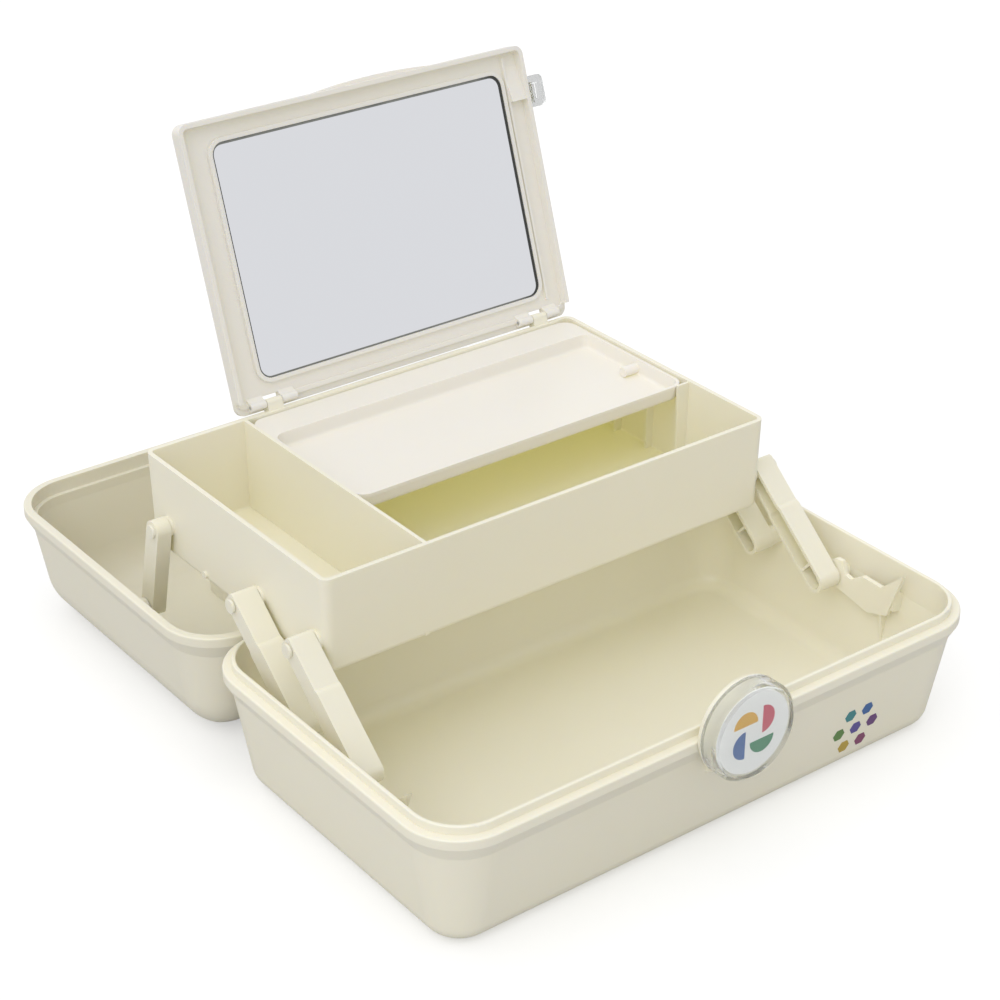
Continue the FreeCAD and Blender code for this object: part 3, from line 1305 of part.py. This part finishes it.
handle_pins = [
    pin_along_x(
        f"handle_pin_{side}",
        d.handle_pin_radius,
        hand * (leg_outer - d.leg_width),
        hand * (tub_half + d.tub_skin - d.pin_cover - 0.1),
        handle_axis_y,
        handle_axis_z,
    )
    for hand, side in HANDS
]
group("handle_pins", handle_pins)

# ---------------------------------------------------------------- check and write

document.recompute()
for thing in document.Objects:
    if "Invalid" in thing.State or "Error" in thing.State:
        raise RuntimeError(f"{thing.Name} is in state {thing.State}")
os.makedirs("parts", exist_ok=True)
for piece in pieces:
    if piece.Shape.isNull() or not piece.Shape.isValid():
        raise RuntimeError(f"{piece.Label} has no valid shape")
    piece.Shape.exportStep(f"parts/{piece.Label}.step")
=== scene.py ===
"""Dresses the make-up case: ivory moulded plastic, mirror, clear round latch, small prints, stage and camera."""

import math

import bmesh
import bpy
from bpy.props import FloatProperty, FloatVectorProperty, PointerProperty
from mathutils import Matrix, Vector
from mathutils.bvhtree import BVHTree


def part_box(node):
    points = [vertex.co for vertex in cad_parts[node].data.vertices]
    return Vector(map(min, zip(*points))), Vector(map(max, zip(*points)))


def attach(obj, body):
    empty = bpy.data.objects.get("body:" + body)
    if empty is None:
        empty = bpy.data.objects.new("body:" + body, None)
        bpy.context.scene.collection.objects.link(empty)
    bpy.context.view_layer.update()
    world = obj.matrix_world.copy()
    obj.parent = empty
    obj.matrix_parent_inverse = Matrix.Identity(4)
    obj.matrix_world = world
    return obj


bl_info = {
    "name": "Make-up case",
    "version": (1, 0, 0),
    "blender": (4, 5, 0),
    "location": "View3D > Sidebar > Make-up case",
    "description": "Materials, prints, stage and camera for the packed make-up case",
    "category": "Object",
}

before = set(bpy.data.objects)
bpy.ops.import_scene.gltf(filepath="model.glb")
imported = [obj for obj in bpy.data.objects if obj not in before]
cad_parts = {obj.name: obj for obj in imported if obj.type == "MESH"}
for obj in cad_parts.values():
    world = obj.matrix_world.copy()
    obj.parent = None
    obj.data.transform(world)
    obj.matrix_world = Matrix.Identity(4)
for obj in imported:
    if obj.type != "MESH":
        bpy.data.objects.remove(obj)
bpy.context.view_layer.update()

# ---------------------------------------------------------------- the case's parts and finishes

ARMS = (
    "front_arm_left",
    "front_arm_right",
    "rear_arm_left",
    "rear_arm_right",
    "lid_arm_left",
    "lid_arm_right",
)
PLASTIC_PINS = (
    "base_pivot_pins",
    "tray_pivot_pins",
    "lid_pivot_pins",
    "lid_arm_rivet_left",
    "lid_arm_rivet_right",
)
STEEL_PINS = ("hinge_pins", "mirror_hinge_pins", "latch_pin", "handle_pins")
# Each moulded finish: its name, the setting that holds its colour, the tone of that colour, its share of the
# glow, how much smoother it is than the rest, and the parts that wear it.
MOULDINGS = (
    ("ivory_shell", "ivory", 1.0, 0.7, 0.0, ("base_shell", "latch_plate")),
    # The lid's plastic, also worn by the handle, is 0.94 of the ivory: painted shade for the tray's shadow over
    # the lid.
    ("ivory_lid", "ivory", 0.94, 0.3, 0.0, ("lid_shell", "handle")),
    ("ivory_tray", "ivory", 1.0, 1.0, 0.0, ("tray",)),
    ("cream_lid", "cream", 1.0, 1.0, 0.0, ("mirror_lid_panel", "mirror_bezel")),
    ("ivory_arm", "ivory", 0.965, 1.0, 0.04, ARMS + PLASTIC_PINS),
    ("white_tray", "off_white", 1.0, 1.4, 0.0, ("shallow_tray",)),
)

# Moulded plastic. Sizes in metres: clouds of colour, flow marks, surface grain and the depth of its cloudiness.
CLOUD_SIZE = 0.11
FLOW_SIZE = 0.03
GRAIN_SIZE = 0.0009
GRAIN_SHARE = 0.35
PALE_CLOUD = 1.02
WARM_CLOUD = (0.985, 0.975, 0.93)
CLOUDINESS = 0.25
CLOUDY_TINT = (1.0, 0.85, 0.5)
CLOUDY_DEPTH = 0.003
PASSED_TINT = (0.98, 0.97, 0.53)
PLASTIC_IOR = 1.49
PLASTIC_BUMP = 0.1
PLASTIC_BUMP_DEPTH = 0.00025
PLASTIC_UNEVEN_SHINE = 0.08

# Clear plastic, with its ripple; the mirror, with its haze; steel, with lines along its length. Each roughness
# is the least and what the pattern adds to it.
CLEAR_COLOUR = (0.94, 0.95, 0.95)
CLEAR_ROUGHNESS = (0.08, 0.05)
CLEAR_IOR = 1.25
CLEARNESS = 0.94
RIPPLE_SIZE = 0.008
RIPPLE_BUMP = 0.05
RIPPLE_DEPTH = 0.0002
MIRROR_COLOUR = (0.69, 0.70, 0.73)
MIRROR_ROUGHNESS = (0.015, 0.012)
HAZE_SIZE = 0.05
HAZE_TONE = 1.01
STEEL_COLOUR = (0.55, 0.55, 0.56)
STEEL_ROUGHNESS = (0.25, 0.15)
STEEL_LINES = (1, 40, 40)
LINE_SIZE = 0.02

# Card and ink: the size of the specks, how dark they are and the roughness; the share of the film's thickness
# that it lies off the surface; the sides of a disc; and a place along Y that is well in front of the case.
CARD_COLOUR = (0.92, 0.92, 0.90)
CARD_SPECKS = (0.0006, 0.97, 0.5)
INK_SPECKS = (0.0008, 0.93, 0.32)
SPECK_ROUGHNESS = 0.1
FILM_LIFT = 0.2
DISC_SIDES = 40
IN_FRONT = -0.5

# The mirror's glass in its own frame, which turns about the mirror lid's hinge; metres and degrees.
MIRROR_AXIS = (0.0, 0.10175, 0.1312)
MIRROR_TILT = 71.5
MIRROR_FLOOR = -0.0022
MIRROR_SIDES = (-0.06095, 0.12029, 0.01205, 0.13425)
MIRROR_CORNER = 0.00665
# The mirror's edge, partly the glass's grey edge and partly painted shade in the gap: its width and height, how
# far its inner line is shifted, and where along X the painted shade turns it dark.
EDGE_WIDTH = 0.001
EDGE_HEIGHT = 0.00156
EDGE_SHIFT = (-0.0007, -0.0002, 0)
EDGE_DARK_FROM = 0.105
EDGE_DARKENING = 90.0
EDGE_ROUGHNESS = (0.3, 0.1)
STREAK_SIZE = 0.01
CORNER_STEPS = 8

# The stage: where the lamps shine from and how wide they are, the floor, and the camera's place and turn.
OVERHEAD_FROM = (-0.25, 0.0, 1.0)
OVERHEAD_SPREAD = 80
SIDE_FROM = (-0.8, -0.55, 0.6)
SIDE_SPREAD = 50
FLOOR_HALF = 20
FLOOR_DROP = 0.0003
FLOOR_GREY = 0.6
FLOOR_ROUGHNESS = 0.9
FLOOR_SPECULAR = 0.1
FLOOR_LIFT = 0.44
CAMERA_PLACE = (-0.63014, -0.83844, 0.67622)
CAMERA_YAW = 37.42
CAMERA_PITCH = 28.836
CAMERA_ROLL = 0.155
SENSOR_WIDTH = 36.0
NEAR_CLIP = 0.05

WHITE = (1.0, 1.0, 1.0, 1.0)


def full(colour):
    """A colour with its alpha."""
    return (*colour, 1.0)


def shaded(colour, by):
    """A colour times a number, with no channel above 1."""
    return [min(1.0, channel * by) for channel in colour]


def display(red, green, blue):
    """A display colour from 0 to 255 as the light level that shows it."""
    levels = (channel / 255 for channel in (red, green, blue))
    return tuple(v / 12.92 if v <= 0.04045 else ((v + 0.055) / 1.055) ** 2.4 for v in levels)


LATCH_INKS = (
    display(206, 58, 88),
    display(226, 172, 20),
    display(28, 92, 162),
    display(26, 134, 88),
)
FRONT_INKS = (
    display(84, 72, 150),
    display(98, 52, 118),
    display(44, 96, 158),
    display(48, 132, 138),
    display(88, 132, 62),
    display(186, 158, 60),
    display(132, 62, 104),
)
# Painted shade along the right-hand side of the edge round the mirror's glass.
EDGE_PAINTED_SHADE = display(40, 42, 38)
EDGE_GREYS = (display(104, 106, 102), display(136, 138, 134))

# ---------------------------------------------------------------- shader vocabulary


class Wire:
    """A shader socket that can be used in plain arithmetic."""

    def __init__(self, tree, socket):
        self.tree = tree
        self.socket = socket

    def _maths(self, operation, first, second):
        node = self.tree.nodes.new("ShaderNodeMath")
        node.operation = operation
        for slot, value in zip(node.inputs, (first, second)):
            if isinstance(value, Wire):
                self.tree.links.new(value.socket, slot)
            else:
                slot.default_value = value
        return Wire(self.tree, node.outputs[0])

    def __add__(self, other):
        return self._maths("ADD", self, other)

    def __radd__(self, other):
        return self._maths("ADD", other, self)

    def __sub__(self, other):
        return self._maths("SUBTRACT", self, other)

    def __rsub__(self, other):
        return self._maths("SUBTRACT", other, self)

    def __mul__(self, other):
        return self._maths("MULTIPLY", self, other)

    def __rmul__(self, other):
        return self._maths("MULTIPLY", other, self)


class Nodes:
    """A node tree under construction."""

    def __init__(self, tree):
        self.tree = tree

    def node(self, kind, settings=None, sockets=None, output=0):
        """Adds a node: its settings first, then the values or wires of its sockets, by name or number."""
        made = self.tree.nodes.new(kind)
        for key, value in (settings or {}).items():
            setattr(made, key, value)
        for key, value in (sockets or {}).items():
            self.feed(made, key, value)
        return Wire(self.tree, made.outputs[output])

    def feed(self, node, key, value):
        slot = node.inputs[key]
        if isinstance(value, Wire):
            self.tree.links.new(value.socket, slot)
        else:
            slot.default_value = value

    def ray(self, kind):
        """One where the ray is of this kind, and nought elsewhere."""
        return self.node("ShaderNodeLightPath", output=kind)


class Finish(Nodes):
    """A material under construction, with one Principled shader."""

    def __init__(self, name):
        self.material = bpy.data.materials.new(name)
        self.material.use_nodes = True
        super().__init__(self.material.node_tree)
        self.principled = self.tree.nodes["Principled BSDF"]
        self.shader = Wire(self.tree, self.principled.outputs[0])
        self.output = self.tree.nodes["Material Output"]

    def set(self, **sockets):
        for key, value in sockets.items():
            self.feed(self.principled, key.replace("_", " "), value)

    def show(self, shader):
        self.feed(self.output, "Surface", shader)

    def place(self, scale=(1, 1, 1)):
        """Object coordinates, so that a pattern stays on its piece."""
        coordinates = self.node("ShaderNodeTexCoord", output="Object")
        return self.node("ShaderNodeMapping", sockets={"Vector": coordinates, "Scale": scale})

    def noise(self, place, size, detail=2.0):
        """Soft patches of about this size in metres."""
        return self.node("ShaderNodeTexNoise", sockets={"Vector": place, "Scale": 1 / size, "Detail": detail})

    def uneven(self, pattern, least_and_more):
        """A roughness that a pattern raises from its least."""
        least, more = least_and_more
        return least + pattern * more

    def bump(self, height, strength, depth):
        return self.node("ShaderNodeBump", sockets={"Strength": strength, "Distance": depth, "Height": height})

    def blend_colours(self, factor, first, second):
        return self.node("ShaderNodeMix", {"data_type": "RGBA"}, {0: factor, 6: full(first), 7: full(second)}, 2)

    def let_light_through(self, colour):
        """Lets this much of the lamps' light reach what is behind a wall."""
        pane = self.node("ShaderNodeBsdfTransparent", sockets={"Color": full(colour)})
        shaders = {0: self.ray("Is Shadow Ray"), 1: self.shader, 2: pane}
        self.show(self.node("ShaderNodeMixShader", sockets=shaders))


# ---------------------------------------------------------------- finishes


def moulded_plastic(name, colour, passed, gloss):
    """Moulded plastic that lets some light through, a little uneven in colour, shine and surface."""
    finish = Finish(name)
    place = finish.place()
    cloud = finish.noise(place, CLOUD_SIZE)
    grain = finish.noise(place, GRAIN_SIZE, detail=1.0)
    flow = finish.noise(place, FLOW_SIZE, detail=3.0)
    warm = [channel * share for channel, share in zip(colour, WARM_CLOUD)]
    base = finish.blend_colours(cloud, warm, shaded(colour, PALE_CLOUD))
    shine = gloss - PLASTIC_UNEVEN_SHINE / 2 + flow * PLASTIC_UNEVEN_SHINE
    normal = finish.bump(grain * GRAIN_SHARE + flow, PLASTIC_BUMP, PLASTIC_BUMP_DEPTH)
    finish.set(Base_Color=base, Roughness=shine, Normal=normal, IOR=PLASTIC_IOR)
    finish.set(Subsurface_Weight=CLOUDINESS, Subsurface_Radius=CLOUDY_TINT, Subsurface_Scale=CLOUDY_DEPTH)
    finish.let_light_through([channel * passed for channel in PASSED_TINT])
    return finish.material


def clear_plastic(name):
    """Clear moulded plastic, very slightly rippled."""
    finish = Finish(name)
    swirl = finish.noise(finish.place(), RIPPLE_SIZE, detail=1.0)
    normal = finish.bump(swirl, RIPPLE_BUMP, RIPPLE_DEPTH)
    finish.set(Base_Color=full(CLEAR_COLOUR), Roughness=finish.uneven(swirl, CLEAR_ROUGHNESS), Normal=normal)
    finish.set(IOR=CLEAR_IOR, Transmission_Weight=CLEARNESS)
    finish.let_light_through(CLEAR_COLOUR)
    return finish.material


def polished_mirror(name):
    """Silvered glass with a trace of haze."""
    finish = Finish(name)
    haze = finish.noise(finish.place(), HAZE_SIZE)
    tint = finish.blend_colours(haze, MIRROR_COLOUR, shaded(MIRROR_COLOUR, HAZE_TONE))
    finish.set(Base_Color=tint, Metallic=1.0, Roughness=finish.uneven(haze, MIRROR_ROUGHNESS))
    return finish.material


def drawn_steel(name):
    """Steel wire with fine lines along its length."""
    finish = Finish(name)
    lines = finish.noise(finish.place(STEEL_LINES), LINE_SIZE)
    finish.set(Base_Color=full(STEEL_COLOUR), Metallic=1.0, Roughness=finish.uneven(lines, STEEL_ROUGHNESS))
    return finish.material


def speckled(name, colour, speck, depth, roughness):
    """A matt surface whose colour and roughness vary in small specks, as card and ink do."""
    finish = Finish(name)
    specks = finish.noise(finish.place(), speck)
    base = finish.blend_colours(specks, shaded(colour, depth), colour)
    finish.set(Base_Color=base, Roughness=finish.uneven(specks, (roughness, SPECK_ROUGHNESS)))
    return finish.material


def inks(name, colours):
    return [speckled(f"{name}_{number}", colour, *INK_SPECKS) for number, colour in enumerate(colours)]


def edge_with_painted_shade(name):
    """Grey glass edge with painted shade of the gap round the glass, painted dark along the wide right-hand side.
    """
    finish = Finish(name)
    place = finish.place()
    streak = finish.noise(place, STREAK_SIZE)
    across = finish.node("ShaderNodeSeparateXYZ", sockets={"Vector": place}, output="X")
    grey = finish.blend_colours(streak, *EDGE_GREYS)
    # Painted shade: the colour turns dark along X from the right-hand side's start onwards.
    shade_rise = (across - EDGE_DARK_FROM) * EDGE_DARKENING
    shade = finish.node("ShaderNodeMix", {"data_type": "RGBA"}, {0: shade_rise, 6: grey, 7: full(EDGE_PAINTED_SHADE)}, 2)
    finish.set(Base_Color=shade, Roughness=finish.uneven(streak, EDGE_ROUGHNESS))
    return finish.material


def white_floor(name):
    """A pale floor that keeps its shadow and shows as white."""
    finish = Finish(name)
    finish.set(Base_Color=full((FLOOR_GREY,) * 3), Roughness=FLOOR_ROUGHNESS, Specular_IOR_Level=FLOOR_SPECULAR)
    lit = finish.node("ShaderNodeEmission", sockets={"Color": WHITE, "Strength": FLOOR_LIFT})
    both = finish.node("ShaderNodeAddShader", sockets={0: finish.shader, 1: lit})
    shaders = {0: finish.ray("Is Camera Ray"), 1: finish.shader, 2: both}
    finish.show(finish.node("ShaderNodeMixShader", sockets=shaders))
    return finish.material


def dress(names, material):
    """Gives CAD nodes a material."""
    for name in names:
        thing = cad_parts[name]
        thing.data.materials.clear()
        thing.data.materials.append(material)


# ---------------------------------------------------------------- mesh vocabulary


def flat_shape(sides, radius, turn=0.0, cut=None):
    """A flat shape in the XY plane: a regular one, or the part of it on one side of a line through its middle."""
    shape = bmesh.new()
    bmesh.ops.create_circle(shape, cap_ends=True, segments=sides, radius=radius)
    bmesh.ops.rotate(shape, verts=shape.verts, matrix=Matrix.Rotation(math.radians(turn), 3, "Z"))
    if cut is not None:
        side = Vector((math.cos(math.radians(cut)), math.sin(math.radians(cut)), 0))
        everything = shape.verts[:] + shape.edges[:] + shape.faces[:]
        bmesh.ops.bisect_plane(shape, geom=everything, plane_co=(0, 0, 0), plane_no=side, clear_inner=True)
    return shape


def thicken(shape, depth):
    """Turns flat faces into closed slabs that stand up along Z."""
    grown = bmesh.ops.extrude_face_region(shape, geom=shape.faces[:])["geom"]
    corners = [part for part in grown if isinstance(part, bmesh.types.BMVert)]
    bmesh.ops.translate(shape, verts=corners, vec=(0, 0, depth))
    bmesh.ops.recalc_face_normals(shape, faces=shape.faces)


def gather(shapes):
    """Joins finished shapes in one bmesh; each takes the material number of its place in the list."""
    joined = bmesh.new()
    for number, shape in enumerate(shapes):
        for face in shape.faces:
            face.material_index = number
        carrier = bpy.data.meshes.new("carrier")
        shape.to_mesh(carrier)
        shape.free()
        joined.from_mesh(carrier)
        bpy.data.meshes.remove(carrier)
    return joined


def make_object(name, shape, materials):
    mesh = bpy.data.meshes.new(name)
    shape.to_mesh(mesh)
    shape.free()
    for material in materials:
        mesh.materials.append(material)
    thing = bpy.data.objects.new(name, mesh)
    bpy.context.scene.collection.objects.link(thing)
    return thing


def settle(name, shape, materials, body):
    """Makes a piece of a finished shape and hangs it on its body."""
    piece = make_object(name, shape, materials)
    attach(piece, body)


# ---------------------------------------------------------------- settings


class CaseSettings(bpy.types.PropertyGroup):
    ivory: FloatVectorProperty(
        name="Ivory",
        description="Colour of the shells, the tray and the arms",
        subtype="COLOR",
        size=3,
        min=0,
        max=1,
        default=(0.86, 0.83, 0.715),
    )
    cream: FloatVectorProperty(
        name="Cream",
        description="Colour of the mirror lid and its frame",
        subtype="COLOR",
        size=3,
        min=0,
        max=1,
        default=(0.82, 0.80, 0.765),
    )
    off_white: FloatVectorProperty(
        name="Off-white",
        description="Colour of the shallow tray",
        subtype="COLOR",
        size=3,
        min=0,
        max=1,
        default=(0.85, 0.82, 0.77),
    )
    glow: FloatProperty(
        name="Glow",
        description="Share of the light that one face lets through",
        default=0.6,
        min=0,
        max=1,
    )
    shine: FloatProperty(
        name="Roughness",
        description="Roughness of the moulded plastic",
        default=0.36,
        min=0,
        max=1,
    )


class PrintSettings(bpy.types.PropertyGroup):
    petal: FloatProperty(
        name="Petal",
        description="Radius of the latch card's petals",
        default=0.0073,
        unit="LENGTH",
    )
    petal_reach: FloatProperty(
        name="Petal reach",
        description="Middle of the latch card to the middle of a petal",
        default=0.0072,
        unit="LENGTH",
    )
    mark: FloatProperty(
        name="Mark",
        description="Radius of the marks on the base's front",
        default=0.0038,
        unit="LENGTH",
    )
    pitch: FloatProperty(
        name="Pitch",
        description="Spacing of those marks",
        default=0.0112,
        unit="LENGTH",
    )
    across: FloatProperty(
        name="Across",
        description="Middle of the case to the middle of the marks",
        default=0.0887,
        unit="LENGTH",
    )
    height: FloatProperty(
        name="Height",
        description="Floor to the middle of the marks",
        default=0.0238,
        unit="LENGTH",
    )
    film: FloatProperty(
        name="Film",
        description="Thickness of the printed ink",
        default=0.00005,
        unit="LENGTH",
    )


class StageSettings(bpy.types.PropertyGroup):
    overhead: FloatProperty(
        name="Overhead light", description="Level of the light from above", default=0.33
    )
    side: FloatProperty(
        name="Side light", description="Level of the light from the front left", default=0.2
    )
    sky: FloatProperty(
        name="Sky", description="Strength of the even light from all round", default=0.62
    )
    lens: FloatProperty(name="Lens", description="Focal length", default=85.54, unit="CAMERA")


# ---------------------------------------------------------------- operators


class CASE_OT_plastic(bpy.types.Operator):
    """Gives every moulded part its plastic"""

    bl_idname = "case.plastic"
    bl_label = "Moulded plastic"

    def execute(self, context):
        look = context.scene.case_look
        for name, tint, tone, passed, smoother, parts in MOULDINGS:
            base = [channel * tone for channel in getattr(look, tint)]
            dress(parts, moulded_plastic(name, base, look.glow * passed, look.shine - smoother))
        return {"FINISHED"}


class CASE_OT_metal_and_glass(bpy.types.Operator):
    """Gives the mirror, the clear parts, the steel pins and the latch's card their materials"""

    bl_idname = "case.metal_and_glass"
    bl_label = "Mirror, clear parts and pins"

    def execute(self, context):
        dress(("mirror_glass",), polished_mirror("mirror_glass"))
        dress(("latch_cover", "mirror_clip"), clear_plastic("clear_plastic"))
        dress(STEEL_PINS, drawn_steel("steel_pin"))
        dress(("latch_insert",), speckled("printed_card", CARD_COLOUR, *CARD_SPECKS))
        return {"FINISHED"}


class CASE_OT_latch_print(bpy.types.Operator):
    """Prints a ring of four half discs on the latch's card"""

    bl_idname = "case.latch_print"
    bl_label = "Latch print"

    def execute(self, context):
        sizes = context.scene.case_print
        low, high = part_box("latch_insert")
        front = low[1] - sizes.film * FILM_LIFT
        middle = Vector(((low[0] + high[0]) / 2, front, (low[2] + high[2]) / 2))
        step = 360 / len(LATCH_INKS)
        petals = []
        for number in range(len(LATCH_INKS)):
            angle = math.radians(step / 2 + step * number)
            petal = flat_shape(DISC_SIDES, sizes.petal, cut=step * number)
            thicken(petal, sizes.film)
            reach = Vector((math.cos(angle), math.sin(angle), 0)) * sizes.petal_reach
            bmesh.ops.translate(petal, verts=petal.verts, vec=reach)
            petals.append(petal)
        card = gather(petals)
        upright = Matrix.Translation(middle) @ Matrix.Rotation(math.radians(90), 4, "X")
        bmesh.ops.transform(card, matrix=upright, verts=card.verts)
        settle("latch_print", card, inks("latch_ink", LATCH_INKS), "latch")
        return {"FINISHED"}


class CASE_OT_front_print(bpy.types.Operator):
    """Prints a honeycomb of seven small marks on the base's front wall"""

    bl_idname = "case.front_print"
    bl_label = "Front print"

    def execute(self, context):
        sizes = context.scene.case_print
        wall = BVHTree.FromObject(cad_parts["base_shell"], bpy.context.evaluated_depsgraph_get())
        places = [(0.0, 0.0)]
        ring = len(FRONT_INKS) - 1
        for number in range(ring):
            angle = math.radians(360 / ring * number)
            places.append((sizes.pitch * math.cos(angle), sizes.pitch * math.sin(angle)))
        marks = []
        for across, up in places:
            start = Vector((sizes.across + across, IN_FRONT, sizes.height + up))
            spot, normal, _, _ = wall.ray_cast(start, Vector((0, 1, 0)))
            if spot is None:
                raise RuntimeError("a mark on the base's front misses the wall")
            mark = flat_shape(6, sizes.mark, turn=30)
            thicken(mark, sizes.film)
            facing = normal.to_track_quat("Z", "Y").to_matrix().to_4x4()
            lifted = Matrix.Translation(spot + normal * sizes.film * FILM_LIFT)
            bmesh.ops.transform(mark, matrix=lifted @ facing, verts=mark.verts)
            marks.append(mark)
        settle("front_print", gather(marks), inks("front_ink", FRONT_INKS), "base")
        return {"FINISHED"}


class CASE_OT_mirror_edge(bpy.types.Operator):
    """Lays the grey edge with its painted shade round the mirror's glass"""

    bl_idname = "case.mirror_edge"
    bl_label = "Mirror edge"

    def execute(self, context):
        left, right, near, far = MIRROR_SIDES
        shape = bmesh.new()
        bmesh.ops.create_grid(shape, x_segments=1, y_segments=1, size=0.5)
        bmesh.ops.scale(shape, verts=shape.verts, vec=(right - left, far - near, 1))
        bmesh.ops.translate(shape, verts=shape.verts, vec=((left + right) / 2, (near + far) / 2, 0))
        bmesh.ops.bevel(
            shape,
            geom=shape.verts[:],
            offset=MIRROR_CORNER,
            segments=CORNER_STEPS,
            profile=0.5,
            affect="VERTICES",
            material=-1,
        )
        middle = shape.faces[:]
        bmesh.ops.inset_region(
            shape, faces=middle, thickness=EDGE_WIDTH, use_boundary=True, use_even_offset=True
        )
        inner = list({corner for face in middle for corner in face.verts})
        bmesh.ops.translate(shape, verts=inner, vec=EDGE_SHIFT)
        bmesh.ops.delete(shape, geom=middle, context="FACES")
        thicken(shape, EDGE_HEIGHT)
        tilt = Matrix.Rotation(math.radians(MIRROR_TILT), 4, "X")
        place = Matrix.Translation(MIRROR_AXIS) @ tilt @ Matrix.Translation((0, 0, MIRROR_FLOOR))
        bmesh.ops.transform(shape, matrix=place, verts=shape.verts)
        settle("mirror_edge", shape, [edge_with_painted_shade("mirror_edge")], "mirror_lid")
        return {"FINISHED"}


class CASE_OT_stage(bpy.types.Operator):
    """Makes the floor, the light and the camera"""

    bl_idname = "case.stage"
    bl_label = "Stage"

    def execute(self, context):
        settings = context.scene.case_stage
        scene = context.scene
        scene.view_settings.view_transform = "Standard"
        shape = bmesh.new()
        bmesh.ops.create_grid(shape, x_segments=1, y_segments=1, size=FLOOR_HALF)
        bmesh.ops.translate(shape, verts=shape.verts, vec=(0, 0, -FLOOR_DROP))
        floor = make_object("floor", shape, [white_floor("white_floor")])
        self.room(scene, settings.sky)
        self.lamp(scene, "overhead_light", OVERHEAD_FROM, OVERHEAD_SPREAD, settings.overhead)
        self.lamp(scene, "side_light", SIDE_FROM, SIDE_SPREAD, settings.side)
        self.camera(scene, settings.lens)
        return {"FINISHED"}

    @staticmethod
    def room(scene, sky):
        """Even light from all round, which is plain white wherever it is seen itself."""
        scene.world = bpy.data.worlds.new("white_room")
        scene.world.use_nodes = True
        air = Nodes(scene.world.node_tree)
        seen = air.ray("Is Camera Ray") + air.ray("Is Transmission Ray") + air.ray("Is Glossy Ray")
        background = air.tree.nodes["Background"]
        air.feed(background, "Strength", air.node("ShaderNodeMix", sockets={0: seen, 2: sky, 3: 1.0}))
        air.feed(background, "Color", WHITE)

    @staticmethod
    def lamp(scene, name, towards, spread, level):
        """A wide soft light from one direction; a level of 1 lights a white face as brightly as it is written."""
        light = bpy.data.lights.new(name, "SUN")
        light.angle = math.radians(spread)
        light.energy = level * math.pi
        lamp = bpy.data.objects.new(name, light)
        lamp.rotation_euler = Vector(towards).to_track_quat("Z", "Y").to_euler()
        scene.collection.objects.link(lamp)

    @staticmethod
    def camera(scene, lens):
        data = bpy.data.cameras.new("camera")
        data.lens = lens
        data.sensor_width = SENSOR_WIDTH
        data.clip_start = NEAR_CLIP
        camera = bpy.data.objects.new("camera", data)
        yaw, pitch, roll = (math.radians(angle) for angle in (CAMERA_YAW, CAMERA_PITCH, CAMERA_ROLL))
        forward = Vector((math.sin(yaw) * math.cos(pitch), math.cos(yaw) * math.cos(pitch), -math.sin(pitch)))
        right = Vector((math.cos(yaw), -math.sin(yaw), 0))
        up = right.cross(forward)
        turned_right = right * math.cos(roll) + up * math.sin(roll)
        turned_up = up * math.cos(roll) - right * math.sin(roll)
        axes = Matrix((turned_right, turned_up, -forward)).transposed()
        camera.matrix_world = Matrix.Translation(CAMERA_PLACE) @ axes.to_4x4()
        scene.collection.objects.link(camera)
        scene.camera = camera


class CASE_PT_panel(bpy.types.Panel):
    """Lists the steps that dress the case"""

    bl_idname = "CASE_PT_panel"
    bl_label = "Make-up case"
    bl_space_type = "VIEW_3D"
    bl_region_type = "UI"
    bl_category = "Make-up case"

    def draw(self, context):
        for name in STEPS:
            self.layout.operator(f"case.{name}")


STEPS = ("stage", "plastic", "metal_and_glass", "latch_print", "front_print", "mirror_edge")
CLASSES = (
    CaseSettings,
    PrintSettings,
    StageSettings,
    CASE_OT_stage,
    CASE_OT_plastic,
    CASE_OT_metal_and_glass,
    CASE_OT_latch_print,
    CASE_OT_front_print,
    CASE_OT_mirror_edge,
    CASE_PT_panel,
)


def register():
    for cls in CLASSES:
        bpy.utils.register_class(cls)
    bpy.types.Scene.case_look = PointerProperty(type=CaseSettings)
    bpy.types.Scene.case_print = PointerProperty(type=PrintSettings)
    bpy.types.Scene.case_stage = PointerProperty(type=StageSettings)


def unregister():
    del bpy.types.Scene.case_stage
    del bpy.types.Scene.case_print
    del bpy.types.Scene.case_look
    for cls in reversed(CLASSES):
        bpy.utils.unregister_class(cls)


def main():
    register()
    for name in STEPS:
        getattr(bpy.ops.case, name)()


if __name__ == "__main__":
    main()
